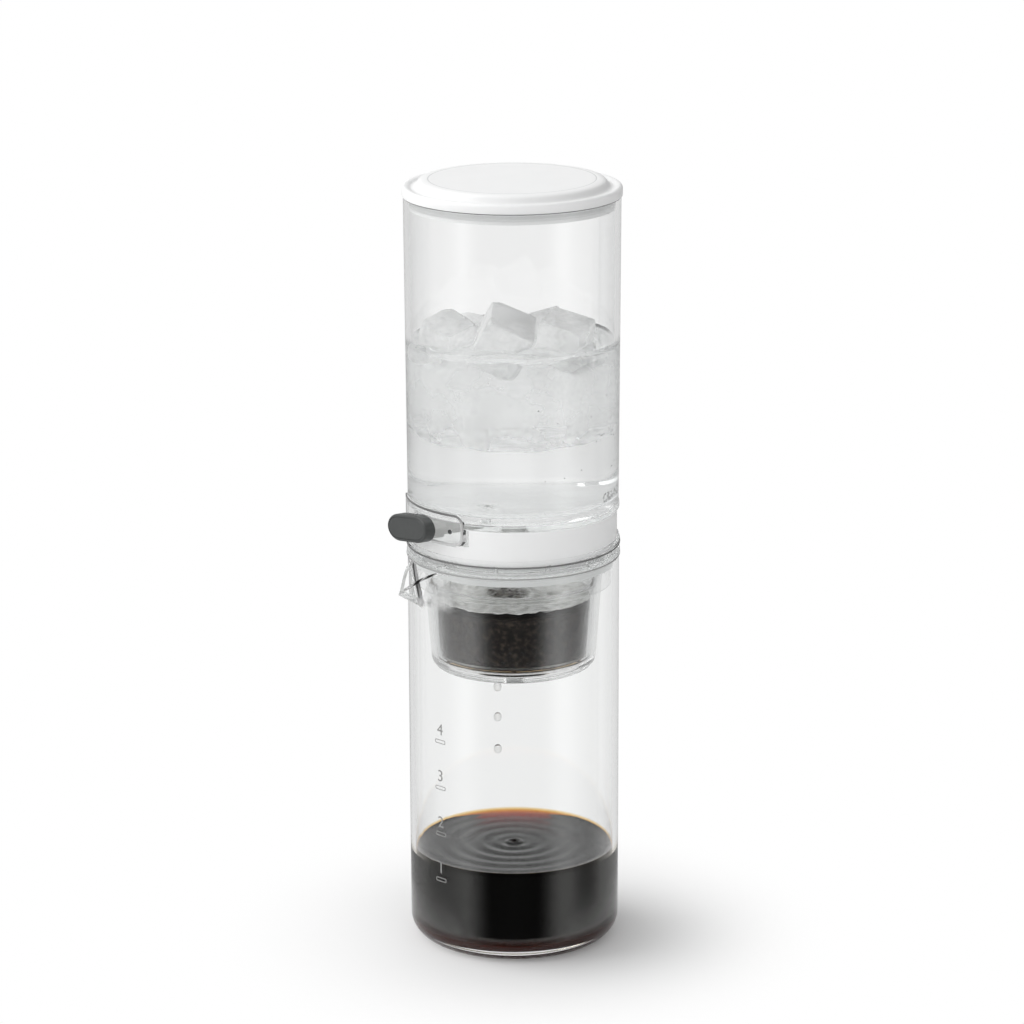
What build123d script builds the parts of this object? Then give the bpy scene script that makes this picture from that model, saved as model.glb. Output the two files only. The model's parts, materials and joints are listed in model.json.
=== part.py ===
"""Slow-drip cold brew coffee maker: glass carafe, coffee chamber, water tank with a needle valve, lid.

Millimetres, +Z up. The origin is the centre of the carafe's resting face. The pouring spout and the
valve knob point along -X. Every function returns one piece where it sits in the closed coffee maker.
"""
from build123d import *
import math
import os

# ---------------------------------------------------------------- carafe
CARAFE_RADIUS = 43.0
CARAFE_WALL = 2.2
CARAFE_HEIGHT = 162.8
CARAFE_BASE = 5.0
CARAFE_FOOT_ROUND = 9.0
CARAFE_INNER_ROUND = 6.0

# ---------------------------------------------------------------- pouring spout
SPOUT_REACH = 11.8          # keel beyond the outer wall at the tip's height, before rounding
SPOUT_TIP_REACH = 9.2       # end of the pulled lip beyond the outer wall
SPOUT_TIP_DROP = 9.2        # tip of the lip below the rim
SPOUT_ROOT_DROP = 16.6      # where the keel leaves the wall, below the rim, before rounding
SPOUT_SIDE_ANGLE = 23.0     # in plan, of each side of the V from -X
SPOUT_HALF_ANGLE = 30.0     # of the rim that the lip takes, each side of -X
SPOUT_LIP_ANGLE = 42.0      # fall of the lip's edge at the tip
SPOUT_DEPTH = 3.0           # solid beak inside the bore, before the inside is cut
SPOUT_WALL = 1.9
SPOUT_KEEL_ROUND = 2.4
SPOUT_ROOT_ROUND = 3.0
SPOUT_INNER_ROOT_ROUND = 2.6
SPOUT_OVERRUN = 3.0         # beak above the rim, cut off with the lip

# ---------------------------------------------------------------- rim gasket and collar
GLASS_CLEARANCE = 0.3       # rim gasket lip inside the glass
GASKET_THICKNESS = 0.9      # between the glass rim and the collar
GASKET_LIP = 0.8
GASKET_LIP_DEPTH = 3.0
GASKET_LIP_ROUND = 0.3
GASKET_EDGE_INSET = 0.2     # outer edge inside the glass's outer wall
SKIRT_WALL = 1.1            # locating skirt of the chamber, inside the gasket
SKIRT_DEPTH = 11.5
COLLAR_PROUD = 0.35         # collar beads beyond the glass
COLLAR_HEIGHT = 7.1
COLLAR_LIP = 0.95           # upstand round the tank base
COLLAR_WEB = 1.8
COLLAR_GROOVE = 0.45
LOWER_BEAD_HEIGHT = 2.3
RIB_HEIGHT = 2.9            # the tank base rests on these
RIB_WIDTH = 1.2
RIB_LENGTH = 3.6
RIB_COUNT = 12
RIB_EDGE_INSET = 0.8        # outer end inside the collar's lip
RIB_ROOT = 0.2              # overlap with the collar
RIB_PHASE = 20.0            # first rib, from the spout round to -Y

# ---------------------------------------------------------------- coffee chamber
CHAMBER_SKIRT_GAP = 1.7
CHAMBER_DEPTH = 47.2        # outer bottom below the collar's seat
CHAMBER_DRAFT = 4.3         # degrees
CHAMBER_WALL = 1.8
CHAMBER_FLOOR = 3.0
CHAMBER_BOTTOM_ROUND = 4.5
CHAMBER_INNER_ROUND = 2.6

# ---------------------------------------------------------------- outlet tip of the chamber
OUTLET_RADIUS = 3.0
OUTLET_BORE = 1.2
OUTLET_FLANGE = 1.6
OUTLET_FLANGE_HEIGHT = 0.9
OUTLET_DROP = 2.0           # below the chamber
OUTLET_TIP_RADIUS = 1.9
OUTLET_FLANGE_ROUND = 0.4
PRESS_CLEARANCE = 0.03

# ---------------------------------------------------------------- filter cup
CUP_HEIGHT = 33.8
CUP_GAP = 1.0               # between the cup and the chamber wall, at the foot
CUP_WALL = 1.2
CUP_RIM_WIDTH = 0.6
CUP_RIM_HEIGHT = 1.2
CUP_RIM_ROUND = 0.4
CUP_STAND = 1.9             # support plate above the chamber floor
CUP_PLATE = 1.2
CUP_HUB = 4.0
CUP_LEDGE = 2.0
CUP_SPOKES = 6
CUP_SPOKE_WIDTH = 1.8
CUP_DRAIN_WIDTH = 4.0
CUP_DRAIN_HEIGHT = 1.1
MESH_THICKNESS = 0.4
MESH_CLEARANCE = 0.1
MESH_RING_WIDTH = 1.6
MESH_RING_HEIGHT = 1.4

# ---------------------------------------------------------------- tank base (frosted band)
BAND_CLEARANCE = 0.3        # inside the collar's lip
BAND_HEIGHT = 14.3
BAND_WALL = 2.0
BASE_FLOOR = 2.0
BASE_EDGE_ROUND = 0.5
BASE_INNER_ROUND = 1.0
SPIGOT_CLEARANCE = 0.7      # inside the mouth of the chamber
SPIGOT_WALL = 1.6
SPIGOT_DEPTH = 6.9
SEAL_CLEARANCE = 0.3        # base gasket inside the mouth of the chamber
SEAL_HEIGHT = 2.0
SEAL_DROP = 2.8             # top of the seal groove below the base floor's underside
SEAL_GROOVE = 0.5
SEAL_ROUND = 0.3
BASE_HOLE_CLEARANCE = 0.4
BASE_BOSS_HEIGHT = 2.1      # valve body above the base's floor
BASE_BOSS_WALL = 1.8
NOTCH_HALF_WIDTH = 25.4     # opening in the band for the valve housing
NOTCH_FLOOR = 7.2           # band left below the opening
NOTCH_ROUND = 1.5

# ---------------------------------------------------------------- water tank
TANK_HEIGHT = 128.1
TANK_FOOT_OVERHANG = 1.0    # foot bead beyond the band
TANK_FOOT_HEIGHT = 2.3
TANK_FOOT_ROUND = 0.7
TANK_FOOT_INSET = 0.4       # inside of the foot bead beyond the band's bore
TANK_WALL_OVERHANG = 0.65   # foot of the wall beyond the band
TANK_DRAFT = 0.34           # degrees
TANK_WALL = 2.0
TANK_FLOOR = 2.5
TANK_INNER_ROUND = 3.0
TANK_RIM_ROUND = 0.6
INLET_OFFSET = 9.0
INLET_BORE = 1.8

# ---------------------------------------------------------------- valve housing on the tank
HOUSING_PROUD = 0.3         # beyond the foot bead
HOUSING_HALF_WIDTH = 23.3
HOUSING_TOP = 1.0           # above the inside floor
HOUSING_ROUND = 3.5
HOUSING_BOTTOM_GAP = 0.25   # panel above the floor of the band's opening
PANEL_CLEARANCE = 0.3
PANEL_INSET = 0.2           # inner face beyond the band's bore
HOUSING_LAP = 0.1           # overlap of the housing's parts where they join
HOUSING_ROOT = 0.5          # housing into the tank wall
BOSS_RADIUS = 5.8
BOSS_HEIGHT = 1.1
VALVE_DEPTH = 5.2           # valve axis below the tank floor's underside
DOT_ANGLE = 24.5            # open/closed index, from the knob round to -Y
DOT_RISE = 1.5
DOT_RADIUS = 0.95
DOT_DEPTH = 0.7
DOT_PROUD = 0.15

# ---------------------------------------------------------------- valve
BARREL_RADIUS = 4.4
STEM_RADIUS = 2.45
STEM_CLEARANCE = 0.05
POST_RADIUS = 5.0
PASSAGE_RADIUS = 1.5
SEAT_POSITION = 5.0         # face of the seat, from the centre line
SEAT_THICKNESS = 1.5
SEAT_BORE = 0.9
SEAT_PASSAGE = 0.8
INLET_GASKET_HEIGHT = 0.6
INLET_GASKET_WIDTH = 2.0
NUT_LENGTH = 5.2
NUT_WALL = 1.6
NUT_ACROSS_FLATS = 9.6
NUT_TO_PANEL = 1.8
COUNTERBORE = 3.4
COUNTERBORE_DEPTH = 2.6
FLANGE_RADIUS = 3.3
FLANGE_THICKNESS = 1.5
FLANGE_PLAY = 0.2
SOCKET_RADIUS = 1.15
SOCKET_DEPTH = 8.0
STEM_INNER_END = 23.0
ORING_SECTION = 0.3
ORING_SPACING = 2.6
ORING_COUNT = 2
ORING_FROM_FLANGE = 3.0
ORING_GROOVE_PLAY = 0.08

# ---------------------------------------------------------------- needle
NEEDLE_RADIUS = 1.5
NEEDLE_GUIDE_RADIUS = 2.4
NEEDLE_GUIDE_LENGTH = 4.0
NEEDLE_LENGTH = 14.6
NEEDLE_CONE = 3.8
NEEDLE_TIP_RADIUS = 0.3
NEEDLE_TAIL_LENGTH = 10.0
NEEDLE_SEAT_CLEARANCE = 0.05
NEEDLE_REST_OPENING = 0.167  # lift at rest; the knob is 30 degrees open on a 2 mm pitch

# ---------------------------------------------------------------- drip nozzle
NOZZLE_RADIUS = 2.9
NOZZLE_BORE = 1.1
NOZZLE_FLANGE_RADIUS = 3.8
NOZZLE_FLANGE_HEIGHT = 0.8
NOZZLE_TOP_DEPTH = 3.4      # in the socket of the valve body
NOZZLE_LENGTH = 9.2         # below the valve body
NOZZLE_TIP_RADIUS = 1.7
NOZZLE_GASKET_HEIGHT = 0.4

# ---------------------------------------------------------------- knob
KNOB_LENGTH = 32.4
KNOB_HEIGHT = 11.0
KNOB_END = 9.3              # length of each half-elliptical end
KNOB_THICKNESS = 4.7
KNOB_GAP = 0.3
KNOB_FRONT_ROUND = 0.8
KNOB_BACK_CHAMFER = 0.3
KNOB_REST_TURN = 10.0
CAP_INSET = 1.1
CAP_THICKNESS = 1.2
CAP_CLEARANCE = 0.05
CAP_CHAMFER = 0.2
SCREW_HEAD_RADIUS = 2.1
SCREW_HEAD_HEIGHT = 1.0
SCREW_RADIUS = 0.95
SCREW_LENGTH = 6.0
SCREW_HOLE_SPARE = 1.0
KNOB_WEB = 0.8
STEM_FLAT = 1.7

# ---------------------------------------------------------------- lid
LID_OVERHANG = 0.5
LID_EDGE_HEIGHT = 3.8
LID_EDGE_ROUND = 1.3
LID_DISC_RADIUS = 34.6      # flat top, out to a soft crease
LID_DISC_RISE = 2.5         # flat top above the outer edge
LID_DISC_FALL = 0.1         # of the shoulder's surface at the crease, for each unit outwards
LID_SHOULDER_WIDTH = 2.8
LID_SHOULDER_DROP = 0.7
LID_GROOVE_WIDTH = 5.6      # from the crease to the bottom of the groove
LID_GROOVE_DEPTH = 0.7
LID_GROOVE_RISE = 1.0       # run of the slope out of the groove
LID_PLATE = 2.2
LID_PLATE_STEP = 1.5        # underside of the disc inside its edge
LID_SKIRT_CLEARANCE = 0.55
LID_SKIRT_WALL = 1.6
LID_SKIRT_DEPTH = 4.7
LID_SEAL_CLEARANCE = 0.2
LID_SEAL_HEIGHT = 2.2
LID_SEAL_DROP = 1.2
LID_SEAL_GROOVE = 0.6
LID_SEAL_BULGE = 0.25

# ---------------------------------------------------------------- worked out from the above
CARAFE_BORE = CARAFE_RADIUS - CARAFE_WALL
GASKET_LIP_RADIUS = CARAFE_BORE - GLASS_CLEARANCE
SKIRT_RADIUS = GASKET_LIP_RADIUS - GASKET_LIP
SKIRT_BORE = SKIRT_RADIUS - SKIRT_WALL
COLLAR_Z = CARAFE_HEIGHT + GASKET_THICKNESS
COLLAR_RADIUS = CARAFE_RADIUS + COLLAR_PROUD
COLLAR_LIP_BORE = COLLAR_RADIUS - COLLAR_LIP
WEB_TOP = COLLAR_Z + COLLAR_WEB
RIB_TOP = WEB_TOP + RIB_HEIGHT
RIB_OUTER = COLLAR_LIP_BORE - RIB_EDGE_INSET

CHAMBER_SLOPE = math.tan(math.radians(CHAMBER_DRAFT))
CHAMBER_TOP_RADIUS = SKIRT_BORE - CHAMBER_SKIRT_GAP
CHAMBER_BOTTOM = COLLAR_Z - CHAMBER_DEPTH
CHAMBER_FLOOR_Z = CHAMBER_BOTTOM + CHAMBER_FLOOR

BAND_RADIUS = COLLAR_LIP_BORE - BAND_CLEARANCE
BAND_BORE = BAND_RADIUS - BAND_WALL
BASE_Z = RIB_TOP
BAND_TOP = BASE_Z + BAND_HEIGHT
BASE_FLOOR_TOP = BASE_Z + BASE_FLOOR

TANK_FOOT_RADIUS = BAND_RADIUS + TANK_FOOT_OVERHANG
TANK_FLOOR_UNDER = BAND_TOP + TANK_FOOT_HEIGHT
TANK_FLOOR_TOP = TANK_FLOOR_UNDER + TANK_FLOOR
TANK_RIM = BAND_TOP + TANK_HEIGHT
TANK_WALL_FOOT = BAND_RADIUS + TANK_WALL_OVERHANG
TANK_WALL_TOP = TANK_WALL_FOOT + (TANK_RIM - TANK_FLOOR_UNDER) * math.tan(math.radians(TANK_DRAFT))
TANK_BORE_TOP = TANK_WALL_TOP - TANK_WALL
TANK_BORE_FOOT = TANK_WALL_FOOT - TANK_WALL

HOUSING_RADIUS = TANK_FOOT_RADIUS + HOUSING_PROUD
BOSS_FACE = HOUSING_RADIUS + BOSS_HEIGHT
VALVE_Z = TANK_FLOOR_UNDER - VALVE_DEPTH
NOTCH_Z = BASE_Z + NOTCH_FLOOR
PANEL_BORE = BAND_BORE + PANEL_INSET
NUT_OUTER_END = PANEL_BORE - NUT_TO_PANEL
NUT_INNER_END = NUT_OUTER_END - NUT_LENGTH
BARREL_END = NUT_OUTER_END - NUT_WALL
BORE_RADIUS = STEM_RADIUS + STEM_CLEARANCE
VALVE_FOOT_Z = BASE_FLOOR_TOP + BASE_BOSS_HEIGHT
FLANGE_START = BARREL_END - FLANGE_THICKNESS - FLANGE_PLAY
KNOB_BACK = BOSS_FACE + KNOB_GAP
KNOB_FACE = KNOB_BACK + KNOB_THICKNESS
SCREW_SEAT = KNOB_FACE - CAP_THICKNESS - SCREW_HEAD_HEIGHT
STEM_OUTER_END = SCREW_SEAT - KNOB_WEB
BASE_HOLE = NOZZLE_FLANGE_RADIUS + BASE_HOLE_CLEARANCE

CENTRE_MIN = (Align.CENTER, Align.CENTER, Align.MIN)
SPOKE_ALIGN = (Align.MIN, Align.CENTER, Align.MIN)
PAST = 1.0                  # how far a cut runs past the face that it opens
WELL_PAST = 5.0


# ---------------------------------------------------------------- shared shapes
def outline(points, rounds=None):
    """Closed face through (radius, height) points; rounds gives a point's index its corner radius."""
    face = make_face(Polyline(*points, close=True))
    for index, radius in (rounds or {}).items():
        corner = face.vertices().sort_by_distance(points[index])[0]
        face = fillet(corner, radius)
    return face


def turned(face):
    """Body turned about the coffee maker's centre line."""
    return revolve(Plane.XZ * face, Axis.Z)


def stem_turned(face):
    """Body turned about the valve axis; heights in the outline run outwards from the centre line."""
    return Pos(0, 0, VALVE_Z) * Rot(0, -90, 0) * turned(face)


def stem_rod(radius, start, end):
    """Plain rod on the valve axis between two distances from the centre line."""
    return Pos(-start, 0, VALVE_Z) * Rot(0, -90, 0) * Cylinder(radius, end - start, align=CENTRE_MIN)


def upright(radius, bottom, top, x=0.0):
    """Plain upright rod."""
    return Pos(x, 0, bottom) * Cylinder(radius, top - bottom, align=CENTRE_MIN)


def ring(outer, inner, bottom, top):
    """Plain upright ring."""
    return upright(outer, bottom, top) - upright(inner, bottom, top)


def front_prism(half_width, bottom, top, radius, near, far):
    """Rounded rectangle seen from -X, run between two distances from the centre line."""
    panel = Plane.YZ * Pos(0, (bottom + top) / 2) * RectangleRounded(2 * half_width, top - bottom, radius)
    return Pos(-far, 0, 0) * extrude(panel, far - near, dir=(1, 0, 0))


def chamber_radius(height):
    """Outer radius of the chamber's tapered wall at a height."""
    return CHAMBER_TOP_RADIUS - (COLLAR_Z - height) * CHAMBER_SLOPE


# ---------------------------------------------------------------- carafe
def spout_beak(inset):
    """Solid V-shaped beak that widens upwards from its keel; inset draws its faces inwards."""
    side = math.radians(SPOUT_SIDE_ANGLE)
    run = SPOUT_REACH / (SPOUT_ROOT_DROP - SPOUT_TIP_DROP)
    setback = inset * math.hypot(1, run * math.sin(side)) / math.sin(side)
    root = CARAFE_BORE - SPOUT_DEPTH
    sections = []
    for reach in (CARAFE_BORE, CARAFE_RADIUS + run * (SPOUT_ROOT_DROP + SPOUT_OVERRUN) - setback):
        height = CARAFE_HEIGHT - SPOUT_ROOT_DROP + (reach + setback - CARAFE_RADIUS) / run
        half = (reach - root) * math.tan(side)
        corners = [(-root, -half), (-root, half), (-reach, 0)]
        sections.append(Pos(0, 0, height) * make_face(Polyline(*corners, close=True)))
    beak = loft(sections, ruled=True)
    keel = beak.edges().sort_by(Edge.length)[-1]
    return fillet(keel, SPOUT_KEEL_ROUND - inset)


def with_beak(shape, radius, inset, root_round):
    """Upright round body with the beak on it, and the two edges where the beak leaves the wall rounded."""
    shape = shape + spout_beak(inset)
    shape -= upright(2 * CARAFE_RADIUS, CARAFE_HEIGHT + SPOUT_OVERRUN / 2, CARAFE_HEIGHT + 2 * SPOUT_OVERRUN)
    roots = []
    for edge in shape.edges():
        middle = edge.center()
        steep = edge.bounding_box().size.Z > SPOUT_ROOT_DROP / 2
        if steep and middle.X < 0 and abs(math.hypot(middle.X, middle.Y) - radius) < SPOUT_WALL:
            roots.append(edge)
    return fillet(roots, root_round)


def above_the_rim():
    """Everything above the level rim and above the falling edge of the pulled lip."""
    start = (-CARAFE_RADIUS * math.cos(math.radians(SPOUT_HALF_ANGLE)), CARAFE_HEIGHT)
    tip = (-CARAFE_RADIUS - SPOUT_TIP_REACH, CARAFE_HEIGHT - SPOUT_TIP_DROP)
    fall = (-math.cos(math.radians(SPOUT_LIP_ANGLE)), -math.sin(math.radians(SPOUT_LIP_ANGLE)))
    end = (tip[0] + CARAFE_RADIUS * fall[0], tip[1] + CARAFE_RADIUS * fall[1])
    top = CARAFE_HEIGHT + SPOUT_ROOT_DROP
    lip = Spline(start, tip, tangents=[(-1, 0), fall])
    rest = Polyline(tip, end, (end[0], top), (2 * CARAFE_RADIUS, top), (2 * CARAFE_RADIUS, CARAFE_HEIGHT), start)
    return extrude(Plane.XZ * make_face([lip, *rest.edges()]), 2 * CARAFE_RADIUS, both=True)


def carafe_glass():
    """Straight glass carafe with a heavy base and a pulled pouring lip."""
    top = CARAFE_HEIGHT + SPOUT_OVERRUN
    body = turned(outline([(0, 0), (CARAFE_RADIUS, 0), (CARAFE_RADIUS, top), (0, top)], {1: CARAFE_FOOT_ROUND}))
    space = turned(outline([(0, CARAFE_BASE), (CARAFE_BORE, CARAFE_BASE), (CARAFE_BORE, top), (0, top)],
                           {1: CARAFE_INNER_ROUND}))
    glass = with_beak(body, CARAFE_RADIUS, 0, SPOUT_ROOT_ROUND)
    glass -= with_beak(space, CARAFE_BORE, SPOUT_WALL, SPOUT_INNER_ROOT_ROUND)
    return glass - above_the_rim()


def rim_gasket():
    """Clear silicone ring of L section: one leg on the glass rim, the other inside it."""
    points = [(SKIRT_RADIUS, COLLAR_Z - GASKET_THICKNESS - GASKET_LIP_DEPTH),
              (GASKET_LIP_RADIUS, COLLAR_Z - GASKET_THICKNESS - GASKET_LIP_DEPTH),
              (GASKET_LIP_RADIUS, CARAFE_HEIGHT),
              (CARAFE_RADIUS - GASKET_EDGE_INSET, CARAFE_HEIGHT),
              (CARAFE_RADIUS - GASKET_EDGE_INSET, COLLAR_Z),
              (SKIRT_RADIUS, COLLAR_Z)]
    return turned(outline(points, {1: GASKET_LIP_ROUND}))


# ---------------------------------------------------------------- coffee chamber
def collar_profile():
    """Outside of the collar from its seat to its top: two rounded beads with a groove between."""
    waist = COLLAR_RADIUS - COLLAR_GROOVE
    split = COLLAR_Z + LOWER_BEAD_HEIGHT
    top = COLLAR_Z + COLLAR_HEIGHT
    return [ThreePointArc((waist, COLLAR_Z), (COLLAR_RADIUS, (COLLAR_Z + split) / 2), (waist, split)),
            ThreePointArc((waist, split), (COLLAR_RADIUS, (split + top) / 2), (waist, top))]


def coffee_chamber():
    """Clear tapered cup that hangs in the carafe by its ribbed collar."""
    mouth = CHAMBER_TOP_RADIUS - CHAMBER_WALL
    floor_radius = chamber_radius(CHAMBER_FLOOR_Z) - CHAMBER_WALL
    waist = COLLAR_RADIUS - COLLAR_GROOVE
    top = COLLAR_Z + COLLAR_HEIGHT
    beads = collar_profile()
    inside = Polyline((waist, top), (COLLAR_LIP_BORE, top), (COLLAR_LIP_BORE, RIB_TOP),
                      (RIB_OUTER, RIB_TOP - RIB_EDGE_INSET), (RIB_OUTER, WEB_TOP), (mouth, WEB_TOP),
                      (floor_radius, CHAMBER_FLOOR_Z), (0, CHAMBER_FLOOR_Z), (0, CHAMBER_BOTTOM),
                      (chamber_radius(CHAMBER_BOTTOM), CHAMBER_BOTTOM), (CHAMBER_TOP_RADIUS, COLLAR_Z),
                      (SKIRT_BORE, COLLAR_Z), (SKIRT_BORE, COLLAR_Z - SKIRT_DEPTH),
                      (SKIRT_RADIUS, COLLAR_Z - SKIRT_DEPTH), (SKIRT_RADIUS, COLLAR_Z), (waist, COLLAR_Z))
    face = make_face([*beads, *inside.edges()])
    bottom_corner = face.vertices().sort_by_distance((chamber_radius(CHAMBER_BOTTOM), CHAMBER_BOTTOM))[0]
    face = fillet(bottom_corner, CHAMBER_BOTTOM_ROUND)
    inner_corner = face.vertices().sort_by_distance((floor_radius, CHAMBER_FLOOR_Z))[0]
    face = fillet(inner_corner, CHAMBER_INNER_ROUND)
    chamber = turned(face)
    rib = Box(RIB_LENGTH, RIB_WIDTH, RIB_HEIGHT, align=SPOKE_ALIGN)
    rib = Pos(RIB_OUTER - RIB_LENGTH + RIB_ROOT, 0, WEB_TOP) * rib
    for index in range(RIB_COUNT):
        chamber += Rot(0, 0, 180 + RIB_PHASE + index * 360 / RIB_COUNT) * rib
    return chamber - upright(OUTLET_RADIUS + PRESS_CLEARANCE, CHAMBER_BOTTOM - PAST, CHAMBER_FLOOR_Z + PAST)


def outlet_tip():
    """Flanged tip pressed into the chamber's floor, where the coffee drips out."""
    points = [(OUTLET_BORE, CHAMBER_FLOOR_Z + OUTLET_FLANGE_HEIGHT),
              (OUTLET_RADIUS + OUTLET_FLANGE, CHAMBER_FLOOR_Z + OUTLET_FLANGE_HEIGHT),
              (OUTLET_RADIUS + OUTLET_FLANGE, CHAMBER_FLOOR_Z),
              (OUTLET_RADIUS, CHAMBER_FLOOR_Z),
              (OUTLET_RADIUS, CHAMBER_BOTTOM),
              (OUTLET_TIP_RADIUS, CHAMBER_BOTTOM - OUTLET_DROP),
              (OUTLET_BORE, CHAMBER_BOTTOM - OUTLET_DROP)]
    return turned(outline(points, {1: OUTLET_FLANGE_ROUND}))


# ---------------------------------------------------------------- filter cup
def cup_radius(height):
    """Outer radius of the filter cup's wall, parallel to the chamber's wall."""
    return chamber_radius(height) - CHAMBER_WALL - CUP_GAP


CUP_TOP = CHAMBER_FLOOR_Z + CUP_HEIGHT
CUP_FOOT_RADIUS = cup_radius(CHAMBER_FLOOR_Z) - CHAMBER_INNER_ROUND
PLATE_Z = CHAMBER_FLOOR_Z + CUP_STAND
MESH_Z = PLATE_Z + CUP_PLATE
MESH_RADIUS = cup_radius(MESH_Z) - CUP_WALL - MESH_CLEARANCE


def filter_cup():
    """Clear cup for the ground coffee, with a spoked bottom under its mesh."""
    points = [(CUP_FOOT_RADIUS - CUP_WALL, CHAMBER_FLOOR_Z),
              (CUP_FOOT_RADIUS, CHAMBER_FLOOR_Z),
              (cup_radius(PLATE_Z), PLATE_Z),
              (cup_radius(CUP_TOP), CUP_TOP - CUP_RIM_HEIGHT),
              (cup_radius(CUP_TOP) + CUP_RIM_WIDTH, CUP_TOP - CUP_RIM_HEIGHT),
              (cup_radius(CUP_TOP) + CUP_RIM_WIDTH, CUP_TOP),
              (cup_radius(CUP_TOP) - CUP_WALL, CUP_TOP),
              (cup_radius(MESH_Z) - CUP_WALL, MESH_Z),
              (cup_radius(MESH_Z) - CUP_WALL - CUP_LEDGE, MESH_Z),
              (cup_radius(MESH_Z) - CUP_WALL - CUP_LEDGE, PLATE_Z),
              (CUP_FOOT_RADIUS - CUP_WALL, PLATE_Z)]
    cup = turned(outline(points, {4: CUP_RIM_ROUND, 5: CUP_RIM_ROUND}))
    cup += upright(CUP_HUB, PLATE_Z, MESH_Z)
    spoke_length = cup_radius(MESH_Z) - CUP_WALL
    spoke = Pos(0, 0, PLATE_Z) * Box(spoke_length, CUP_SPOKE_WIDTH, CUP_PLATE, align=SPOKE_ALIGN)
    drain = Box(4 * CUP_WALL, CUP_DRAIN_WIDTH, CUP_DRAIN_HEIGHT, align=SPOKE_ALIGN)
    drain = Pos(CUP_FOOT_RADIUS - 2 * CUP_WALL, 0, CHAMBER_FLOOR_Z) * drain
    for index in range(CUP_SPOKES):
        turn = index * 360 / CUP_SPOKES
        cup += Rot(0, 0, turn) * spoke
        cup -= Rot(0, 0, turn + 180 / CUP_SPOKES) * drain
    return cup


def filter_mesh():
    """Disc of fine steel mesh."""
    return upright(MESH_RADIUS, MESH_Z, MESH_Z + MESH_THICKNESS)


def mesh_ring():
    """Snap ring that holds the mesh down."""
    bottom = MESH_Z + MESH_THICKNESS
    return ring(MESH_RADIUS, MESH_RADIUS - MESH_RING_WIDTH, bottom, bottom + MESH_RING_HEIGHT)


# ---------------------------------------------------------------- tank base
MOUTH_RADIUS = CHAMBER_TOP_RADIUS - CHAMBER_WALL
SPIGOT_RADIUS = MOUTH_RADIUS - SPIGOT_CLEARANCE
SEAL_TOP = BASE_Z - SEAL_DROP
SEAL_BOTTOM = SEAL_TOP - SEAL_HEIGHT


def tank_base():
    """Frosted band with a floor; its spigot enters the chamber's mouth and its ledge carries the tank."""
    points = [(BASE_HOLE, BASE_Z), (SPIGOT_RADIUS - SPIGOT_WALL, BASE_Z),
              (SPIGOT_RADIUS - SPIGOT_WALL, BASE_Z - SPIGOT_DEPTH), (SPIGOT_RADIUS, BASE_Z - SPIGOT_DEPTH),
              (SPIGOT_RADIUS, SEAL_BOTTOM), (SPIGOT_RADIUS - SEAL_GROOVE, SEAL_BOTTOM),
              (SPIGOT_RADIUS - SEAL_GROOVE, SEAL_TOP), (SPIGOT_RADIUS, SEAL_TOP),
              (SPIGOT_RADIUS, BASE_Z), (BAND_RADIUS, BASE_Z), (BAND_RADIUS, BAND_TOP),
              (BAND_BORE, BAND_TOP), (BAND_BORE, BASE_FLOOR_TOP),
              (BASE_HOLE + BASE_BOSS_WALL, BASE_FLOOR_TOP), (BASE_HOLE + BASE_BOSS_WALL, VALVE_FOOT_Z),
              (BASE_HOLE, VALVE_FOOT_Z)]
    base = turned(outline(points, {9: BASE_EDGE_ROUND, 12: BASE_INNER_ROUND}))
    return base - front_prism(NOTCH_HALF_WIDTH, NOTCH_Z, NOTCH_Z + 2 * BAND_HEIGHT, NOTCH_ROUND,
                              SPIGOT_RADIUS, HOUSING_RADIUS + WELL_PAST)


def base_gasket():
    """Silicone ring in the spigot's groove."""
    outer = MOUTH_RADIUS - SEAL_CLEARANCE
    inner = SPIGOT_RADIUS - SEAL_GROOVE
    points = [(inner, SEAL_BOTTOM), (outer, SEAL_BOTTOM), (outer, SEAL_TOP), (inner, SEAL_TOP)]
    return turned(outline(points, {1: SEAL_ROUND, 2: SEAL_ROUND}))


# ---------------------------------------------------------------- water tank
def dot_plug(radius, inner, outer):
    """Round plug set into the valve housing beside the knob."""
    plug = Pos(-inner, 0, 0) * Rot(0, -90, 0) * Cylinder(radius, outer - inner, align=CENTRE_MIN)
    return Pos(0, 0, VALVE_Z + DOT_RISE) * Rot(0, 0, DOT_ANGLE) * plug


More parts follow.
